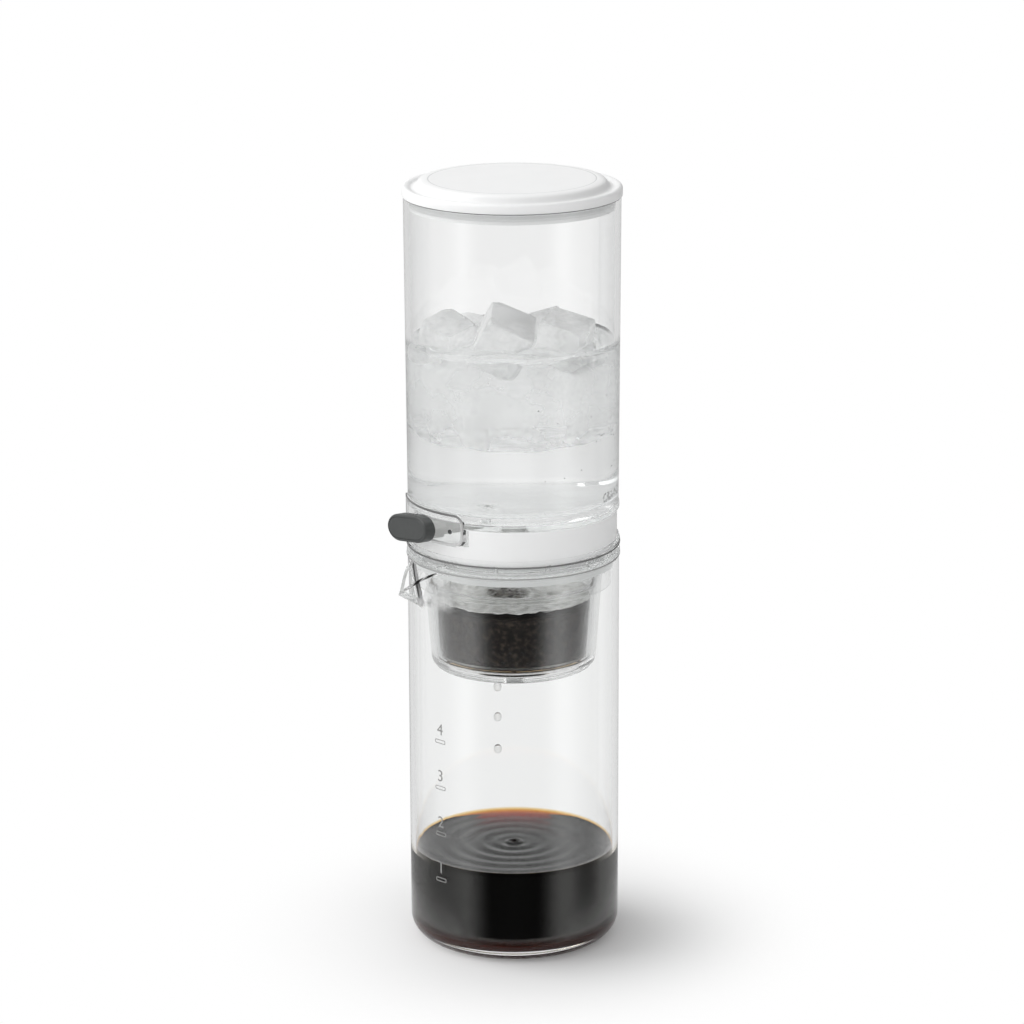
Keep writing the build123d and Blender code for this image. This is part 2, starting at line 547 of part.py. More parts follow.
def water_tank():
    """Clear tank with a foot bead and the moulded housing that the valve stem comes out of."""
    points = [(BAND_BORE + TANK_FOOT_INSET, BAND_TOP), (TANK_FOOT_RADIUS, BAND_TOP),
              (TANK_FOOT_RADIUS, TANK_FLOOR_UNDER), (TANK_WALL_FOOT, TANK_FLOOR_UNDER),
              (TANK_WALL_TOP, TANK_RIM), (TANK_BORE_TOP, TANK_RIM), (TANK_BORE_FOOT, TANK_FLOOR_TOP),
              (0, TANK_FLOOR_TOP), (0, TANK_FLOOR_UNDER), (BAND_BORE + TANK_FOOT_INSET, TANK_FLOOR_UNDER)]
    tank = turned(outline(points, {1: TANK_FOOT_ROUND, 2: 0.9 * (TANK_FOOT_RADIUS - TANK_WALL_FOOT),
                                   4: TANK_RIM_ROUND, 5: TANK_RIM_ROUND, 6: TANK_INNER_ROUND}))
    panel_bottom = NOTCH_Z + HOUSING_BOTTOM_GAP
    panel = front_prism(NOTCH_HALF_WIDTH - PANEL_CLEARANCE, panel_bottom, TANK_FLOOR_UNDER, NOTCH_ROUND / 2,
                        SPIGOT_RADIUS, HOUSING_RADIUS + WELL_PAST)
    tank += panel & ring(BAND_RADIUS, PANEL_BORE, panel_bottom, TANK_FLOOR_UNDER)
    housing_bottom = NOTCH_Z - HOUSING_BOTTOM_GAP
    housing_top = TANK_FLOOR_TOP + HOUSING_TOP
    housing = front_prism(HOUSING_HALF_WIDTH, housing_bottom, housing_top, HOUSING_ROUND,
                          SPIGOT_RADIUS, HOUSING_RADIUS + WELL_PAST)
    shell = ring(HOUSING_RADIUS, BAND_RADIUS + HOUSING_LAP, housing_bottom, TANK_FLOOR_UNDER)
    shell += ring(HOUSING_RADIUS, TANK_WALL_FOOT - HOUSING_ROOT, TANK_FLOOR_UNDER, housing_top)
    shell += ring(BAND_RADIUS + 2 * HOUSING_LAP, BAND_RADIUS - HOUSING_LAP, panel_bottom, TANK_FLOOR_UNDER)
    tank += housing & shell
    boss = stem_rod(BOSS_RADIUS, HOUSING_RADIUS - BOSS_HEIGHT, BOSS_FACE)
    tank += boss - upright(BAND_RADIUS + HOUSING_LAP, 0, TANK_RIM)
    tank -= stem_rod(BORE_RADIUS, PANEL_BORE - WELL_PAST, BOSS_FACE + WELL_PAST)
    tank -= upright(INLET_BORE, TANK_FLOOR_UNDER - PAST, TANK_FLOOR_TOP + PAST, x=-INLET_OFFSET)
    return tank - dot_plug(DOT_RADIUS + PRESS_CLEARANCE, HOUSING_RADIUS - DOT_DEPTH, HOUSING_RADIUS + WELL_PAST)


def index_dot():
    """Dark index dot on the housing."""
    return dot_plug(DOT_RADIUS, HOUSING_RADIUS - DOT_DEPTH, HOUSING_RADIUS + DOT_PROUD)


# ---------------------------------------------------------------- valve
GASKET_FACE_Z = TANK_FLOOR_UNDER - INLET_GASKET_HEIGHT


def valve_body():
    """Moulded barrel under the tank: inlet post, needle bore and the socket of the drip nozzle."""
    body = stem_rod(BARREL_RADIUS, -BARREL_RADIUS, BARREL_END)
    body += upright(POST_RADIUS, VALVE_Z, GASKET_FACE_Z, x=-INLET_OFFSET)
    body += upright(POST_RADIUS, VALVE_FOOT_Z, VALVE_Z)
    body -= stem_rod(BORE_RADIUS, SEAT_POSITION - SEAT_THICKNESS, BARREL_END + PAST)
    body -= stem_rod(SEAT_PASSAGE, 0, SEAT_POSITION)
    body -= stem_rod(COUNTERBORE, BARREL_END - COUNTERBORE_DEPTH, BARREL_END + PAST)
    body -= upright(INLET_BORE, VALVE_Z, GASKET_FACE_Z + PAST, x=-INLET_OFFSET)
    body -= upright(PASSAGE_RADIUS, VALVE_FOOT_Z - PAST, VALVE_Z)
    return body - upright(NOZZLE_RADIUS + PRESS_CLEARANCE, VALVE_FOOT_Z - PAST, VALVE_FOOT_Z + NOZZLE_TOP_DEPTH)


def inlet_gasket():
    """Flat gasket between the inlet post and the tank floor."""
    washer = ring(INLET_BORE + INLET_GASKET_WIDTH, INLET_BORE, GASKET_FACE_Z, TANK_FLOOR_UNDER)
    return Pos(-INLET_OFFSET, 0, 0) * washer


def valve_seat():
    """Ring that the needle closes into."""
    start = SEAT_POSITION - SEAT_THICKNESS
    return stem_rod(BORE_RADIUS - PRESS_CLEARANCE, start, SEAT_POSITION) - stem_rod(SEAT_BORE, 0, 2 * SEAT_POSITION)


def gland_nut():
    """Hexagon nut that closes the barrel round the stem."""
    hexagon = RegularPolygon(NUT_ACROSS_FLATS / 2, 6, major_radius=False, rotation=30)
    blank = Pos(-NUT_INNER_END, 0, VALVE_Z) * Rot(0, -90, 0) * extrude(hexagon, NUT_LENGTH)
    blank -= stem_rod(BARREL_RADIUS + PRESS_CLEARANCE, NUT_INNER_END - PAST, BARREL_END)
    return blank - stem_rod(BORE_RADIUS, BARREL_END - PAST, NUT_OUTER_END + PAST)


def drip_nozzle():
    """Tapered nozzle under the valve body, over the coffee."""
    flange_top = VALVE_FOOT_Z - NOZZLE_GASKET_HEIGHT
    points = [(NOZZLE_BORE, VALVE_FOOT_Z + NOZZLE_TOP_DEPTH), (NOZZLE_RADIUS, VALVE_FOOT_Z + NOZZLE_TOP_DEPTH),
              (NOZZLE_RADIUS, flange_top), (NOZZLE_FLANGE_RADIUS, flange_top),
              (NOZZLE_FLANGE_RADIUS, flange_top - NOZZLE_FLANGE_HEIGHT),
              (NOZZLE_RADIUS, flange_top - NOZZLE_FLANGE_HEIGHT),
              (NOZZLE_TIP_RADIUS, VALVE_FOOT_Z - NOZZLE_LENGTH), (NOZZLE_BORE, VALVE_FOOT_Z - NOZZLE_LENGTH)]
    return turned(outline(points))


def nozzle_gasket():
    """Thin washer between the nozzle's flange and the valve body."""
    return ring(NOZZLE_FLANGE_RADIUS, NOZZLE_RADIUS + PRESS_CLEARANCE, VALVE_FOOT_Z - NOZZLE_GASKET_HEIGHT,
                VALVE_FOOT_Z)


def oring_positions():
    """Distances of the stem's O-rings from the centre line."""
    return [FLANGE_START - ORING_FROM_FLANGE - index * ORING_SPACING for index in range(ORING_COUNT)]


def valve_stem():
    """Turned stem: flange in the gland, grooves for O-rings, a flat for the knob, a socket for the needle."""
    stem = stem_rod(STEM_RADIUS, STEM_INNER_END, STEM_OUTER_END)
    stem += stem_rod(FLANGE_RADIUS, FLANGE_START, FLANGE_START + FLANGE_THICKNESS)
    groove_half = ORING_SECTION + ORING_GROOVE_PLAY
    groove_radius = STEM_RADIUS - 2 * ORING_SECTION
    for position in oring_positions():
        start, end = position - groove_half, position + groove_half
        stem -= stem_rod(STEM_RADIUS + PAST, start, end) - stem_rod(groove_radius, start, end)
    stem -= stem_rod(SOCKET_RADIUS, STEM_INNER_END - PAST, STEM_INNER_END + SOCKET_DEPTH)
    stem -= stem_rod(SCREW_RADIUS + PRESS_CLEARANCE, STEM_OUTER_END - SCREW_LENGTH, STEM_OUTER_END + PAST)
    return stem - knob_flat(STEM_FLAT)


def knob_flat(depth):
    """Block that leaves a flat on the stem inside the knob."""
    block = Box(KNOB_THICKNESS, 4 * STEM_RADIUS, STEM_RADIUS, align=(Align.MAX, Align.CENTER, Align.MIN))
    return Pos(-KNOB_BACK, 0, VALVE_Z) * Rot(-KNOB_REST_TURN, 0, 0) * Pos(0, 0, depth) * block


def stem_orings():
    """O-rings on the stem."""
    rings = []
    for position in oring_positions():
        torus = Torus(STEM_RADIUS - ORING_SECTION, ORING_SECTION)
        rings.append(Pos(-position, 0, VALVE_Z) * Rot(0, -90, 0) * torus)
    return Compound(rings)


def needle():
    """Needle that the stem's thread moves in and out of the seat."""
    cone_slope = (NEEDLE_RADIUS - NEEDLE_TIP_RADIUS) / NEEDLE_CONE
    closed_depth = (SEAT_BORE - NEEDLE_SEAT_CLEARANCE - NEEDLE_TIP_RADIUS) / cone_slope
    tip = SEAT_POSITION - closed_depth + NEEDLE_REST_OPENING
    guide_end = tip + NEEDLE_LENGTH
    points = [(0, tip), (NEEDLE_TIP_RADIUS, tip), (NEEDLE_RADIUS, tip + NEEDLE_CONE),
              (NEEDLE_RADIUS, guide_end - NEEDLE_GUIDE_LENGTH),
              (NEEDLE_GUIDE_RADIUS, guide_end - NEEDLE_GUIDE_LENGTH),
              (NEEDLE_GUIDE_RADIUS, guide_end),
              (SOCKET_RADIUS - STEM_CLEARANCE, guide_end),
              (SOCKET_RADIUS - STEM_CLEARANCE, guide_end + NEEDLE_TAIL_LENGTH),
              (0, guide_end + NEEDLE_TAIL_LENGTH)]
    return stem_turned(outline(points))


# ---------------------------------------------------------------- knob
def knob_slab(inset, start, end):
    """Oval slab square to the valve axis, turned to the knob's rest; inset draws its side inwards."""
    middle = KNOB_LENGTH / 2 - KNOB_END
    half = KNOB_HEIGHT / 2 - inset
    round_end = KNOB_END - inset
    sides = [EllipticalCenterArc((middle, 0), round_end, half, start_angle=-90, arc_size=180),
             Line((middle, half), (-middle, half)),
             EllipticalCenterArc((-middle, 0), round_end, half, start_angle=90, arc_size=180),
             Line((-middle, -half), (middle, -half))]
    slab = extrude(Plane.YZ * make_face(sides), end - start, dir=(-1, 0, 0))
    return Pos(-start, 0, VALVE_Z) * Rot(-KNOB_REST_TURN, 0, 0) * slab


def knob():
    """Oval grip with a recess for its cap and screw, bored with a flat for the stem."""
    grip = knob_slab(0, KNOB_BACK, KNOB_FACE)
    grip = fillet(grip.faces().sort_by(Axis.X)[0].edges(), KNOB_FRONT_ROUND)
    grip = chamfer(grip.faces().sort_by(Axis.X)[-1].edges(), KNOB_BACK_CHAMFER)
    grip -= knob_slab(CAP_INSET, KNOB_FACE - CAP_THICKNESS, KNOB_FACE + PAST)
    grip -= stem_rod(SCREW_HEAD_RADIUS + CAP_CLEARANCE, SCREW_SEAT, KNOB_FACE)
    grip -= stem_rod(SCREW_RADIUS + CAP_CLEARANCE, KNOB_BACK, KNOB_FACE)
    bore = stem_rod(STEM_RADIUS + PRESS_CLEARANCE, KNOB_BACK - PAST, STEM_OUTER_END)
    return grip - (bore - knob_flat(STEM_FLAT + PRESS_CLEARANCE))


def knob_cap():
    """Oval cap let into the face of the knob."""
    cap = knob_slab(CAP_INSET + CAP_CLEARANCE, KNOB_FACE - CAP_THICKNESS, KNOB_FACE)
    return chamfer(cap.faces().sort_by(Axis.X)[0].edges(), CAP_CHAMFER)


def knob_screw():
    """Screw that holds the knob on its stem."""
    end = STEM_OUTER_END - SCREW_LENGTH + SCREW_HOLE_SPARE
    screw = stem_rod(SCREW_HEAD_RADIUS, SCREW_SEAT, SCREW_SEAT + SCREW_HEAD_HEIGHT)
    screw += stem_rod(SCREW_RADIUS, end, SCREW_SEAT)
    return screw


# ---------------------------------------------------------------- lid
LID_RADIUS = TANK_WALL_TOP + LID_OVERHANG
LID_EDGE_TOP = TANK_RIM + LID_EDGE_HEIGHT
LID_TOP = LID_EDGE_TOP + LID_DISC_RISE
LID_SKIRT_RADIUS = TANK_BORE_TOP - LID_SKIRT_CLEARANCE
LID_SEAL_TOP = TANK_RIM - LID_SEAL_DROP
LID_SEAL_BOTTOM = LID_SEAL_TOP - LID_SEAL_HEIGHT


def lid():
    """White lid: flat top with a soft shoulder, a groove, a rounded edge and a skirt that takes its seal."""
    groove = (LID_DISC_RADIUS + LID_GROOVE_WIDTH, LID_EDGE_TOP - LID_GROOVE_DEPTH)
    crease = (LID_DISC_RADIUS, LID_TOP)
    shoulder = (LID_DISC_RADIUS + LID_SHOULDER_WIDTH, LID_TOP - LID_SHOULDER_DROP)
    bend = 0.29
    edge = (LID_RADIUS - LID_EDGE_ROUND, LID_EDGE_TOP)
    side = (LID_RADIUS, LID_EDGE_TOP - LID_EDGE_ROUND)
    top = [Line((0, LID_TOP), crease),
           Spline(crease, shoulder, groove, tangents=[(1, -LID_DISC_FALL), (1, 0)]),
           Spline(groove, (groove[0] + LID_GROOVE_RISE, LID_EDGE_TOP - LID_GROOVE_DEPTH / 2), edge,
                  tangents=[(1, 0), (1, 0)]),
           ThreePointArc(edge, (LID_RADIUS - bend * LID_EDGE_ROUND, LID_EDGE_TOP - bend * LID_EDGE_ROUND), side)]
    skirt_bottom = TANK_RIM - LID_SKIRT_DEPTH
    skirt_bore = LID_SKIRT_RADIUS - LID_SKIRT_WALL
    plate_z = LID_EDGE_TOP - LID_PLATE - LID_GROOVE_DEPTH
    under = Polyline(side, (LID_RADIUS, TANK_RIM),
                     (LID_SKIRT_RADIUS, TANK_RIM), (LID_SKIRT_RADIUS, LID_SEAL_TOP),
                     (LID_SKIRT_RADIUS - LID_SEAL_GROOVE, LID_SEAL_TOP),
                     (LID_SKIRT_RADIUS - LID_SEAL_GROOVE, LID_SEAL_BOTTOM),
                     (LID_SKIRT_RADIUS, LID_SEAL_BOTTOM), (LID_SKIRT_RADIUS, skirt_bottom),
                     (skirt_bore, skirt_bottom), (skirt_bore, plate_z),
                     (LID_DISC_RADIUS - LID_PLATE_STEP, plate_z),
                     (LID_DISC_RADIUS - LID_PLATE_STEP - PAST, LID_TOP - LID_PLATE), (0, LID_TOP - LID_PLATE),
                     (0, LID_TOP))
    return turned(make_face([*top, *under.edges()]))


def lid_seal():
    """Silicone ring in the lid's groove."""
    outer = TANK_BORE_TOP - LID_SEAL_CLEARANCE
    inner = LID_SKIRT_RADIUS - LID_SEAL_GROOVE
    points = [(inner, LID_SEAL_BOTTOM), (outer - LID_SEAL_BULGE, LID_SEAL_BOTTOM),
              (outer, (LID_SEAL_BOTTOM + LID_SEAL_TOP) / 2), (outer - LID_SEAL_BULGE, LID_SEAL_TOP),
              (inner, LID_SEAL_TOP)]
    return turned(outline(points))


PIECES = {
    "carafe_glass": carafe_glass,
    "rim_gasket": rim_gasket,
    "coffee_chamber": coffee_chamber,
    "outlet_tip": outlet_tip,
    "filter_cup": filter_cup,
    "filter_mesh": filter_mesh,
    "mesh_ring": mesh_ring,
    "tank_base": tank_base,
    "base_gasket": base_gasket,
    "water_tank": water_tank,
    "index_dot": index_dot,
    "valve_body": valve_body,
    "inlet_gasket": inlet_gasket,
    "valve_seat": valve_seat,
    "gland_nut": gland_nut,
    "drip_nozzle": drip_nozzle,
    "nozzle_gasket": nozzle_gasket,
    "needle": needle,
    "valve_stem": valve_stem,
    "stem_orings": stem_orings,
    "knob": knob,
    "knob_cap": knob_cap,
    "knob_screw": knob_screw,
    "lid": lid,
    "lid_seal": lid_seal,
}

os.makedirs("parts", exist_ok=True)
for name, make in PIECES.items():
    export_step(make(), f"parts/{name}.step")
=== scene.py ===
"""Looks of a slow-drip cold brew coffee maker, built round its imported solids."""

import json
import logging
import math
import random
from dataclasses import dataclass
from enum import Enum
from itertools import product
from typing import Callable, Sequence

import bmesh
import bpy
from mathutils import Matrix, Vector, noise

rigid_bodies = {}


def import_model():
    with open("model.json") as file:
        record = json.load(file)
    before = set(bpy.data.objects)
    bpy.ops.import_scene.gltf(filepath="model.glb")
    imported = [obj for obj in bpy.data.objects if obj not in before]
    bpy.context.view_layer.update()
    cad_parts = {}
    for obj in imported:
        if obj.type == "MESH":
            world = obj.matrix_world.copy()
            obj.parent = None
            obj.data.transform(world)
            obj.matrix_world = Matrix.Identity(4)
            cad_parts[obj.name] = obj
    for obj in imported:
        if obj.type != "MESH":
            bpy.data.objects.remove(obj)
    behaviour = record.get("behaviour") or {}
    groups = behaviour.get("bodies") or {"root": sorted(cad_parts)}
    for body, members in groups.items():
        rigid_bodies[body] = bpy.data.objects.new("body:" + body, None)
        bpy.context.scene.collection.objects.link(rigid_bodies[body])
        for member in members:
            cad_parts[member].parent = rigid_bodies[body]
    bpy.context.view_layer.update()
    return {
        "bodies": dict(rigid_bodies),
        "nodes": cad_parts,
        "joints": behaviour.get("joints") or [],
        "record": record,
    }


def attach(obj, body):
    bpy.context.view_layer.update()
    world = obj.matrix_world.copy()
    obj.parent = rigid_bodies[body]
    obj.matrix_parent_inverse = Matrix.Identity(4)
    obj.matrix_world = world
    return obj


LOG = logging.getLogger("cold_brew_maker")
MM = 0.001
SPOKES = 10
WHITE = (1.0, 1.0, 1.0, 1.0)
Colour = tuple[float, float, float]
Pair = tuple[float, float]
Rows = tuple[tuple, ...]
Profile = list[Pair]
Stops = Sequence[tuple[float, Colour]]
Mesh = bmesh.types.BMesh
Data = bpy.types.Mesh
Material = bpy.types.Material
Object = bpy.types.Object
Socket = bpy.types.NodeSocket


class Body(Enum):
    """Bodies of the coffee maker that a piece can ride on."""

    CARAFE = "carafe"
    CHAMBER = "chamber"
    CUP = "cup"
    TANK = "tank"


class Slot(Enum):
    """Material slots of the record."""

    GLASS = "clear_glass"
    CLEAR = "clear_plastic"
    FROSTED = "frosted_plastic"
    LID = "lid_plastic"
    GREY = "grey_plastic"
    WHITE = "white_plastic"
    SILICONE = "silicone"
    RUBBER = "black_rubber"
    STEEL = "steel"
    MESH = "steel_mesh"


class Nodes:
    """Node tree, with short ways to add what the looks need."""

    def __init__(self, tree: bpy.types.NodeTree) -> None:
        """Takes over a tree and empties it."""
        self.tree = tree
        self.tree.nodes.clear()

    def add(self, kind: str, inputs: dict | None = None, **settings) -> bpy.types.Node:
        """Adds a node.

        Args:
            kind: Blender's name of the node type.
            inputs: Values of its sockets; a socket as value is linked.
            **settings: Values of its properties.

        Returns:
            The new node.
        """
        node = self.tree.nodes.new(kind)
        for key, value in settings.items():
            setattr(node, key, value)
        for key, value in (inputs or {}).items():
            if isinstance(value, Socket):
                self.tree.links.new(value, node.inputs[key])
            else:
                node.inputs[key].default_value = value
        return node

    def get(self, kind: str, inputs: dict | None = None, output: int | str = 0, **settings) -> Socket:
        """Adds a shader node, named by the end of its type, and returns one of its outputs."""
        return self.add("ShaderNode" + kind, inputs, **settings).outputs[output]

    def calc(self, operation: str, one: Socket, two: Socket | float = 0.0) -> Socket:
        """Returns what an operation makes of one or two values."""
        return self.get("Math", {0: one, 1: two}, operation=operation)

    def reach(self, operation: str, one: Socket, two: Vector | tuple) -> Socket:
        """Returns the number that an operation makes of two vectors."""
        return self.get("VectorMath", {0: one, 1: two}, "Value", operation=operation)

    def ray(self, fact: str) -> Socket:
        """Returns a fact about the ray that meets the surface."""
        return self.get("LightPath", None, fact)

    def blend(self, share: Socket | float, one: Socket, two: Socket) -> Socket:
        """Mixes two shaders by the share of the second and returns the mix."""
        return self.get("MixShader", {0: share, 1: one, 2: two})

    def span(self, value: Socket, ends: Pair, results: Pair = (0.0, 1.0), curve: str = "LINEAR") -> Socket:
        """Returns a value mapped from one range to another, along a curve that Blender names."""
        return self.get("MapRange", {"Value": value, "From Min": ends[0], "From Max": ends[1], "To Min": results[0],
                                     "To Max": results[1]}, interpolation_type=curve)

    def ramp(self, source: Socket, stops: Stops) -> Socket:
        """Colour ramp.

        Args:
            source: Value that is mapped.
            stops: Positions and colours, from low to high.

        Returns:
            The ramp's colour socket.
        """
        node = self.add("ShaderNodeValToRGB", {"Fac": source})
        band = node.color_ramp.elements
        for index, (position, colour) in enumerate(stops):
            stop = band[index] if index < 2 else band.new(position)
            stop.position = position
            stop.color = (*colour, 1)
        return node.outputs["Color"]


class Graph(Nodes):
    """Node tree of one material."""

    def __init__(self, name: str) -> None:
        """Starts the material.

        Args:
            name: Name of the material.
        """
        self.material = bpy.data.materials.new(name)
        self.material.use_nodes = True
        super().__init__(self.material.node_tree)
        self.place = self.get("TexCoord", None, "Object")

    def finish(self, surface: Socket, **more: Socket) -> Material:
        """Links the shader of the surface, and that of the Volume if there is one, and returns the material."""
        self.add("ShaderNodeOutputMaterial", {"Surface": surface, **more})
        return self.material

    def grain(self, scale: float, detail: float = 3.0, stretch: Colour = (1, 1, 1)) -> Socket:
        """Returns noise fixed to the piece, with its features per metre and its stretch along each axis."""
        place = self.get("Mapping", {"Vector": self.place, "Scale": stretch})
        return self.get("TexNoise", {"Vector": place, "Scale": scale, "Detail": detail})

    def bump(self, height: Socket, depth: float, strength: float = 1.0) -> Socket:
        """Returns the bump of a height from 0 to 1, which is a depth in millimetres."""
        return self.get("Bump", {"Height": height, "Distance": depth * MM, "Strength": strength})

    def axis(self, name: str) -> Socket:
        """Returns X, Y or Z of the place on the piece."""
        return self.get("SeparateXYZ", {"Vector": self.place}, name)

    def away(self, x: float = 0.0, y: float = 0.0) -> Socket:
        """Returns the distance from the upright line at x and y, which are in millimetres."""
        flat = self.get("VectorMath", {0: self.place, 1: (1, 1, 0)}, operation="MULTIPLY")
        return self.reach("DISTANCE", flat, (x * MM, y * MM, 0))

    def rise(self, value: Socket, low: float, high: float, curve: str = "LINEAR") -> Socket:
        """Returns a share that goes from 0 at one length to 1 at another, both in millimetres."""
        return self.span(value, (low * MM, high * MM), curve=curve)

    def within(self, value: Socket, low: float, high: float, soft: float = 0.5) -> Socket:
        """Returns 1 between two lengths and 0 past a soft width outside them, all in millimetres."""
        return self.calc("MULTIPLY", self.rise(value, low - soft, low), self.rise(value, high + soft, high))

    def tones(self, share: Socket | float, one: Socket, two: Socket, how: str = "MIX") -> Socket:
        """Mixes two colours by the share of the second and returns the mix."""
        return self.get("Mix", {0: share, 6: one, 7: two}, 2, data_type="RGBA", blend_type=how)

    def clear(self, colour: Socket | tuple, ior: float, rough: float = 0.0, **more: Socket) -> Socket:
        """Adds a clear shader with a tint and, if it is given, a Normal, and returns it."""
        return self.get("BsdfPrincipled", {
            "Base Color": colour, "Roughness": rough, "IOR": ior, "Transmission Weight": 1.0, **more})

    def milk(self, colour: Socket | tuple, deep: float, skin: Socket) -> Socket:
        """Adds a milky shader, of which a share lets light deep into it, and returns it."""
        matt, through = (self.get(kind, {"Color": colour, "Normal": skin}) for kind in (
            "BsdfDiffuse", "BsdfTranslucent"))
        return self.blend(deep, matt, through)

    def light_through(self, surface: Socket, tint: Colour) -> Socket:
        """Lets soft light pass the shader of a clear wall with a tint, so that what stands behind it is lit."""
        soft = self.calc("MAXIMUM", self.ray("Is Shadow Ray"), self.ray("Is Diffuse Ray"))
        return self.blend(soft, surface, self.get("BsdfTransparent", {"Color": (*tint, 1)}))


@dataclass(frozen=True)
class ClearWall:
    """Clear glass or polished plastic that darkens where it is seen edge on.

    Between two heights, and ahead of a place along X, it bends light less, as thin drawn or moulded edges do.
    Light that has bounced too often to get out of the wall is let out.
    """

    name: str
    ior: float
    tint: Colour
    tint_until: float
    edges: Stops
    thin_heights: Pair
    thin_ahead: float
    thin_soft: float
    thin_ior: float = 1.2
    wave: float = 0.008
    leak: float = 9.5

    def make(self) -> Material:
        """Returns the material."""
        graph = Graph(self.name)
        facing = graph.get("LayerWeight", {"Blend": 0.5}, "Facing")
        colour = graph.ramp(facing, [(self.tint_until, self.tint), *self.edges])
        skin = graph.bump(graph.grain(45, 2, (1, 1, 0.35)), self.wave)
        wall, thin = (graph.clear(colour, ior, Normal=skin) for ior in (self.ior, self.thin_ior))
        ahead = graph.rise(graph.axis("X"), self.thin_ahead + self.thin_soft, self.thin_ahead)
        zone = graph.within(graph.axis("Z"), *self.thin_heights, self.thin_soft)
        both = graph.blend(graph.calc("MULTIPLY", zone, ahead), wall, thin)
        trapped = graph.calc("GREATER_THAN", graph.ray("Ray Depth"), self.leak)
        both = graph.blend(trapped, both, graph.get("BsdfTransparent"))
        return graph.finish(graph.light_through(both, self.tint))


@dataclass(frozen=True)
class Moulded:
    """Moulded plastic or rubber with a fine spark texture, and where asked a thin ring of painted shade at a radius,
    for the shade in a crease.
    """

    name: str
    colour: Colour
    mottle: Colour
    roughness: float = 0.4
    depth: float = 0.02
    glow: float = 0.0
    passes: float = 0.0
    painted_crease_radius: float = 0.0

    def make(self) -> Material:
        """Returns the material."""
        graph = Graph(self.name)
        tone = graph.ramp(graph.grain(60, 4), [(0.3, self.mottle), (0.7, self.colour)])
        # Painted shade: a thin ring at the given radius turns darker, standing in for the shade in the lid's crease.
        if self.painted_crease_radius > 0:
            line = graph.within(graph.away(), self.painted_crease_radius, self.painted_crease_radius + 0.2, 0.25)
            shade = graph.ramp(line, [(0.0, (1.0,) * 3), (1.0, (0.72, 0.725, 0.725))])
            tone = graph.tones(1.0, tone, shade, "MULTIPLY")
        sheen = graph.span(graph.grain(900), (0.0, 1.0), (self.roughness * 0.85, min(1.0, self.roughness * 1.15)))
        surface = graph.get("BsdfPrincipled", {
            "Base Color": tone, "Roughness": sheen, "IOR": 1.5, "Subsurface Weight": self.glow,
            "Subsurface Scale": 0.004, "Subsurface Radius": (1.0,) * 3,
            "Normal": graph.bump(graph.grain(2600, 2), self.depth)})
        if self.passes > 0:
            surface = graph.light_through(surface, tuple(self.passes * c for c in self.colour))
        return graph.finish(surface)


@dataclass(frozen=True)
class MilkySilicone:
    """Soft clear silicone with a little milk in it."""

    name: str
    share: float = 0.85
    colour: Colour = (0.985, 0.99, 0.99)

    def make(self) -> Material:
        """Returns the material."""
        graph = Graph(self.name)
        skin = graph.bump(graph.grain(900, 3), 0.02)
        tone = graph.ramp(graph.grain(70, 3), [(0.3, tuple(0.98 * c for c in self.colour)), (0.7, self.colour)])
        both = graph.blend(self.share, graph.clear(tone, 1.2, 0.18, Normal=skin), graph.milk(tone, 0.4, skin))
        return graph.finish(graph.light_through(both, (0.98,) * 3))


@dataclass(frozen=True)
class TurnedSteel:
    """Stainless steel with fine rings from the lathe, or the cross hatch of a woven mesh with painted shade between
    its wires.
    """

    name: str
    woven: bool = False
    pitch: float = 0.45

    def make(self) -> Material:
        """Returns the material."""
        graph = Graph(self.name)
        turns = math.tau / (self.pitch * MM)
        waves = [graph.calc("ABSOLUTE", graph.calc("SINE", graph.calc("MULTIPLY", graph.axis(axis), turns)))
                 for axis in ("XY" if self.woven else "X")]
        height = graph.calc("MINIMUM", waves[0], waves[-1])
        # Woven mesh: painted shade, dark in the low lines of the hatch between the wires and light on the tops.
        if self.woven:
            tone = graph.ramp(height, [(0.0, (0.2, 0.2, 0.19)), (0.5, (0.62, 0.62, 0.6))])
        else:
            tone = graph.ramp(graph.grain(300), [(0.3, (0.55, 0.55, 0.53)), (0.7, (0.66, 0.66, 0.64))])
        return graph.finish(graph.get("BsdfPrincipled", {
            "Base Color": tone, "Metallic": 1.0, "Roughness": 0.32, "Normal": graph.bump(height, 0.03, 0.5)}))


@dataclass(frozen=True)
class Liquid:
    """Clear liquid."""

    name: str
    ior: float
    tint: Colour

    def make(self) -> Material:
        """Returns the material."""
        graph = Graph(self.name)
        tone = graph.ramp(graph.grain(80), [(0.0, self.tint), (1.0, tuple(0.99 * c for c in self.tint))])
        return graph.finish(graph.light_through(graph.clear(tone, self.ior), self.tint))


@dataclass(frozen=True)
class CloudyIce:
    """Clear ice with a white core of trapped air."""

    name: str
    least: float = 0.25
    most: float = 0.85
    ior: float = 1.08

    def make(self) -> Material:
        """Returns the material."""
        graph = Graph(self.name)
        frost = graph.ramp(graph.grain(60, 5), [(0.4, (self.least,) * 3), (0.62, (self.most,) * 3)])
        crack = graph.bump(graph.grain(110, 4), 0.35, 0.5)
        clear = graph.clear((0.985, 0.99, 0.99, 1), self.ior, 0.06, Normal=crack)
        mix = graph.blend(frost, clear, graph.milk(WHITE, 0.5, crack))
        return graph.finish(graph.light_through(mix, (1.0,) * 3))


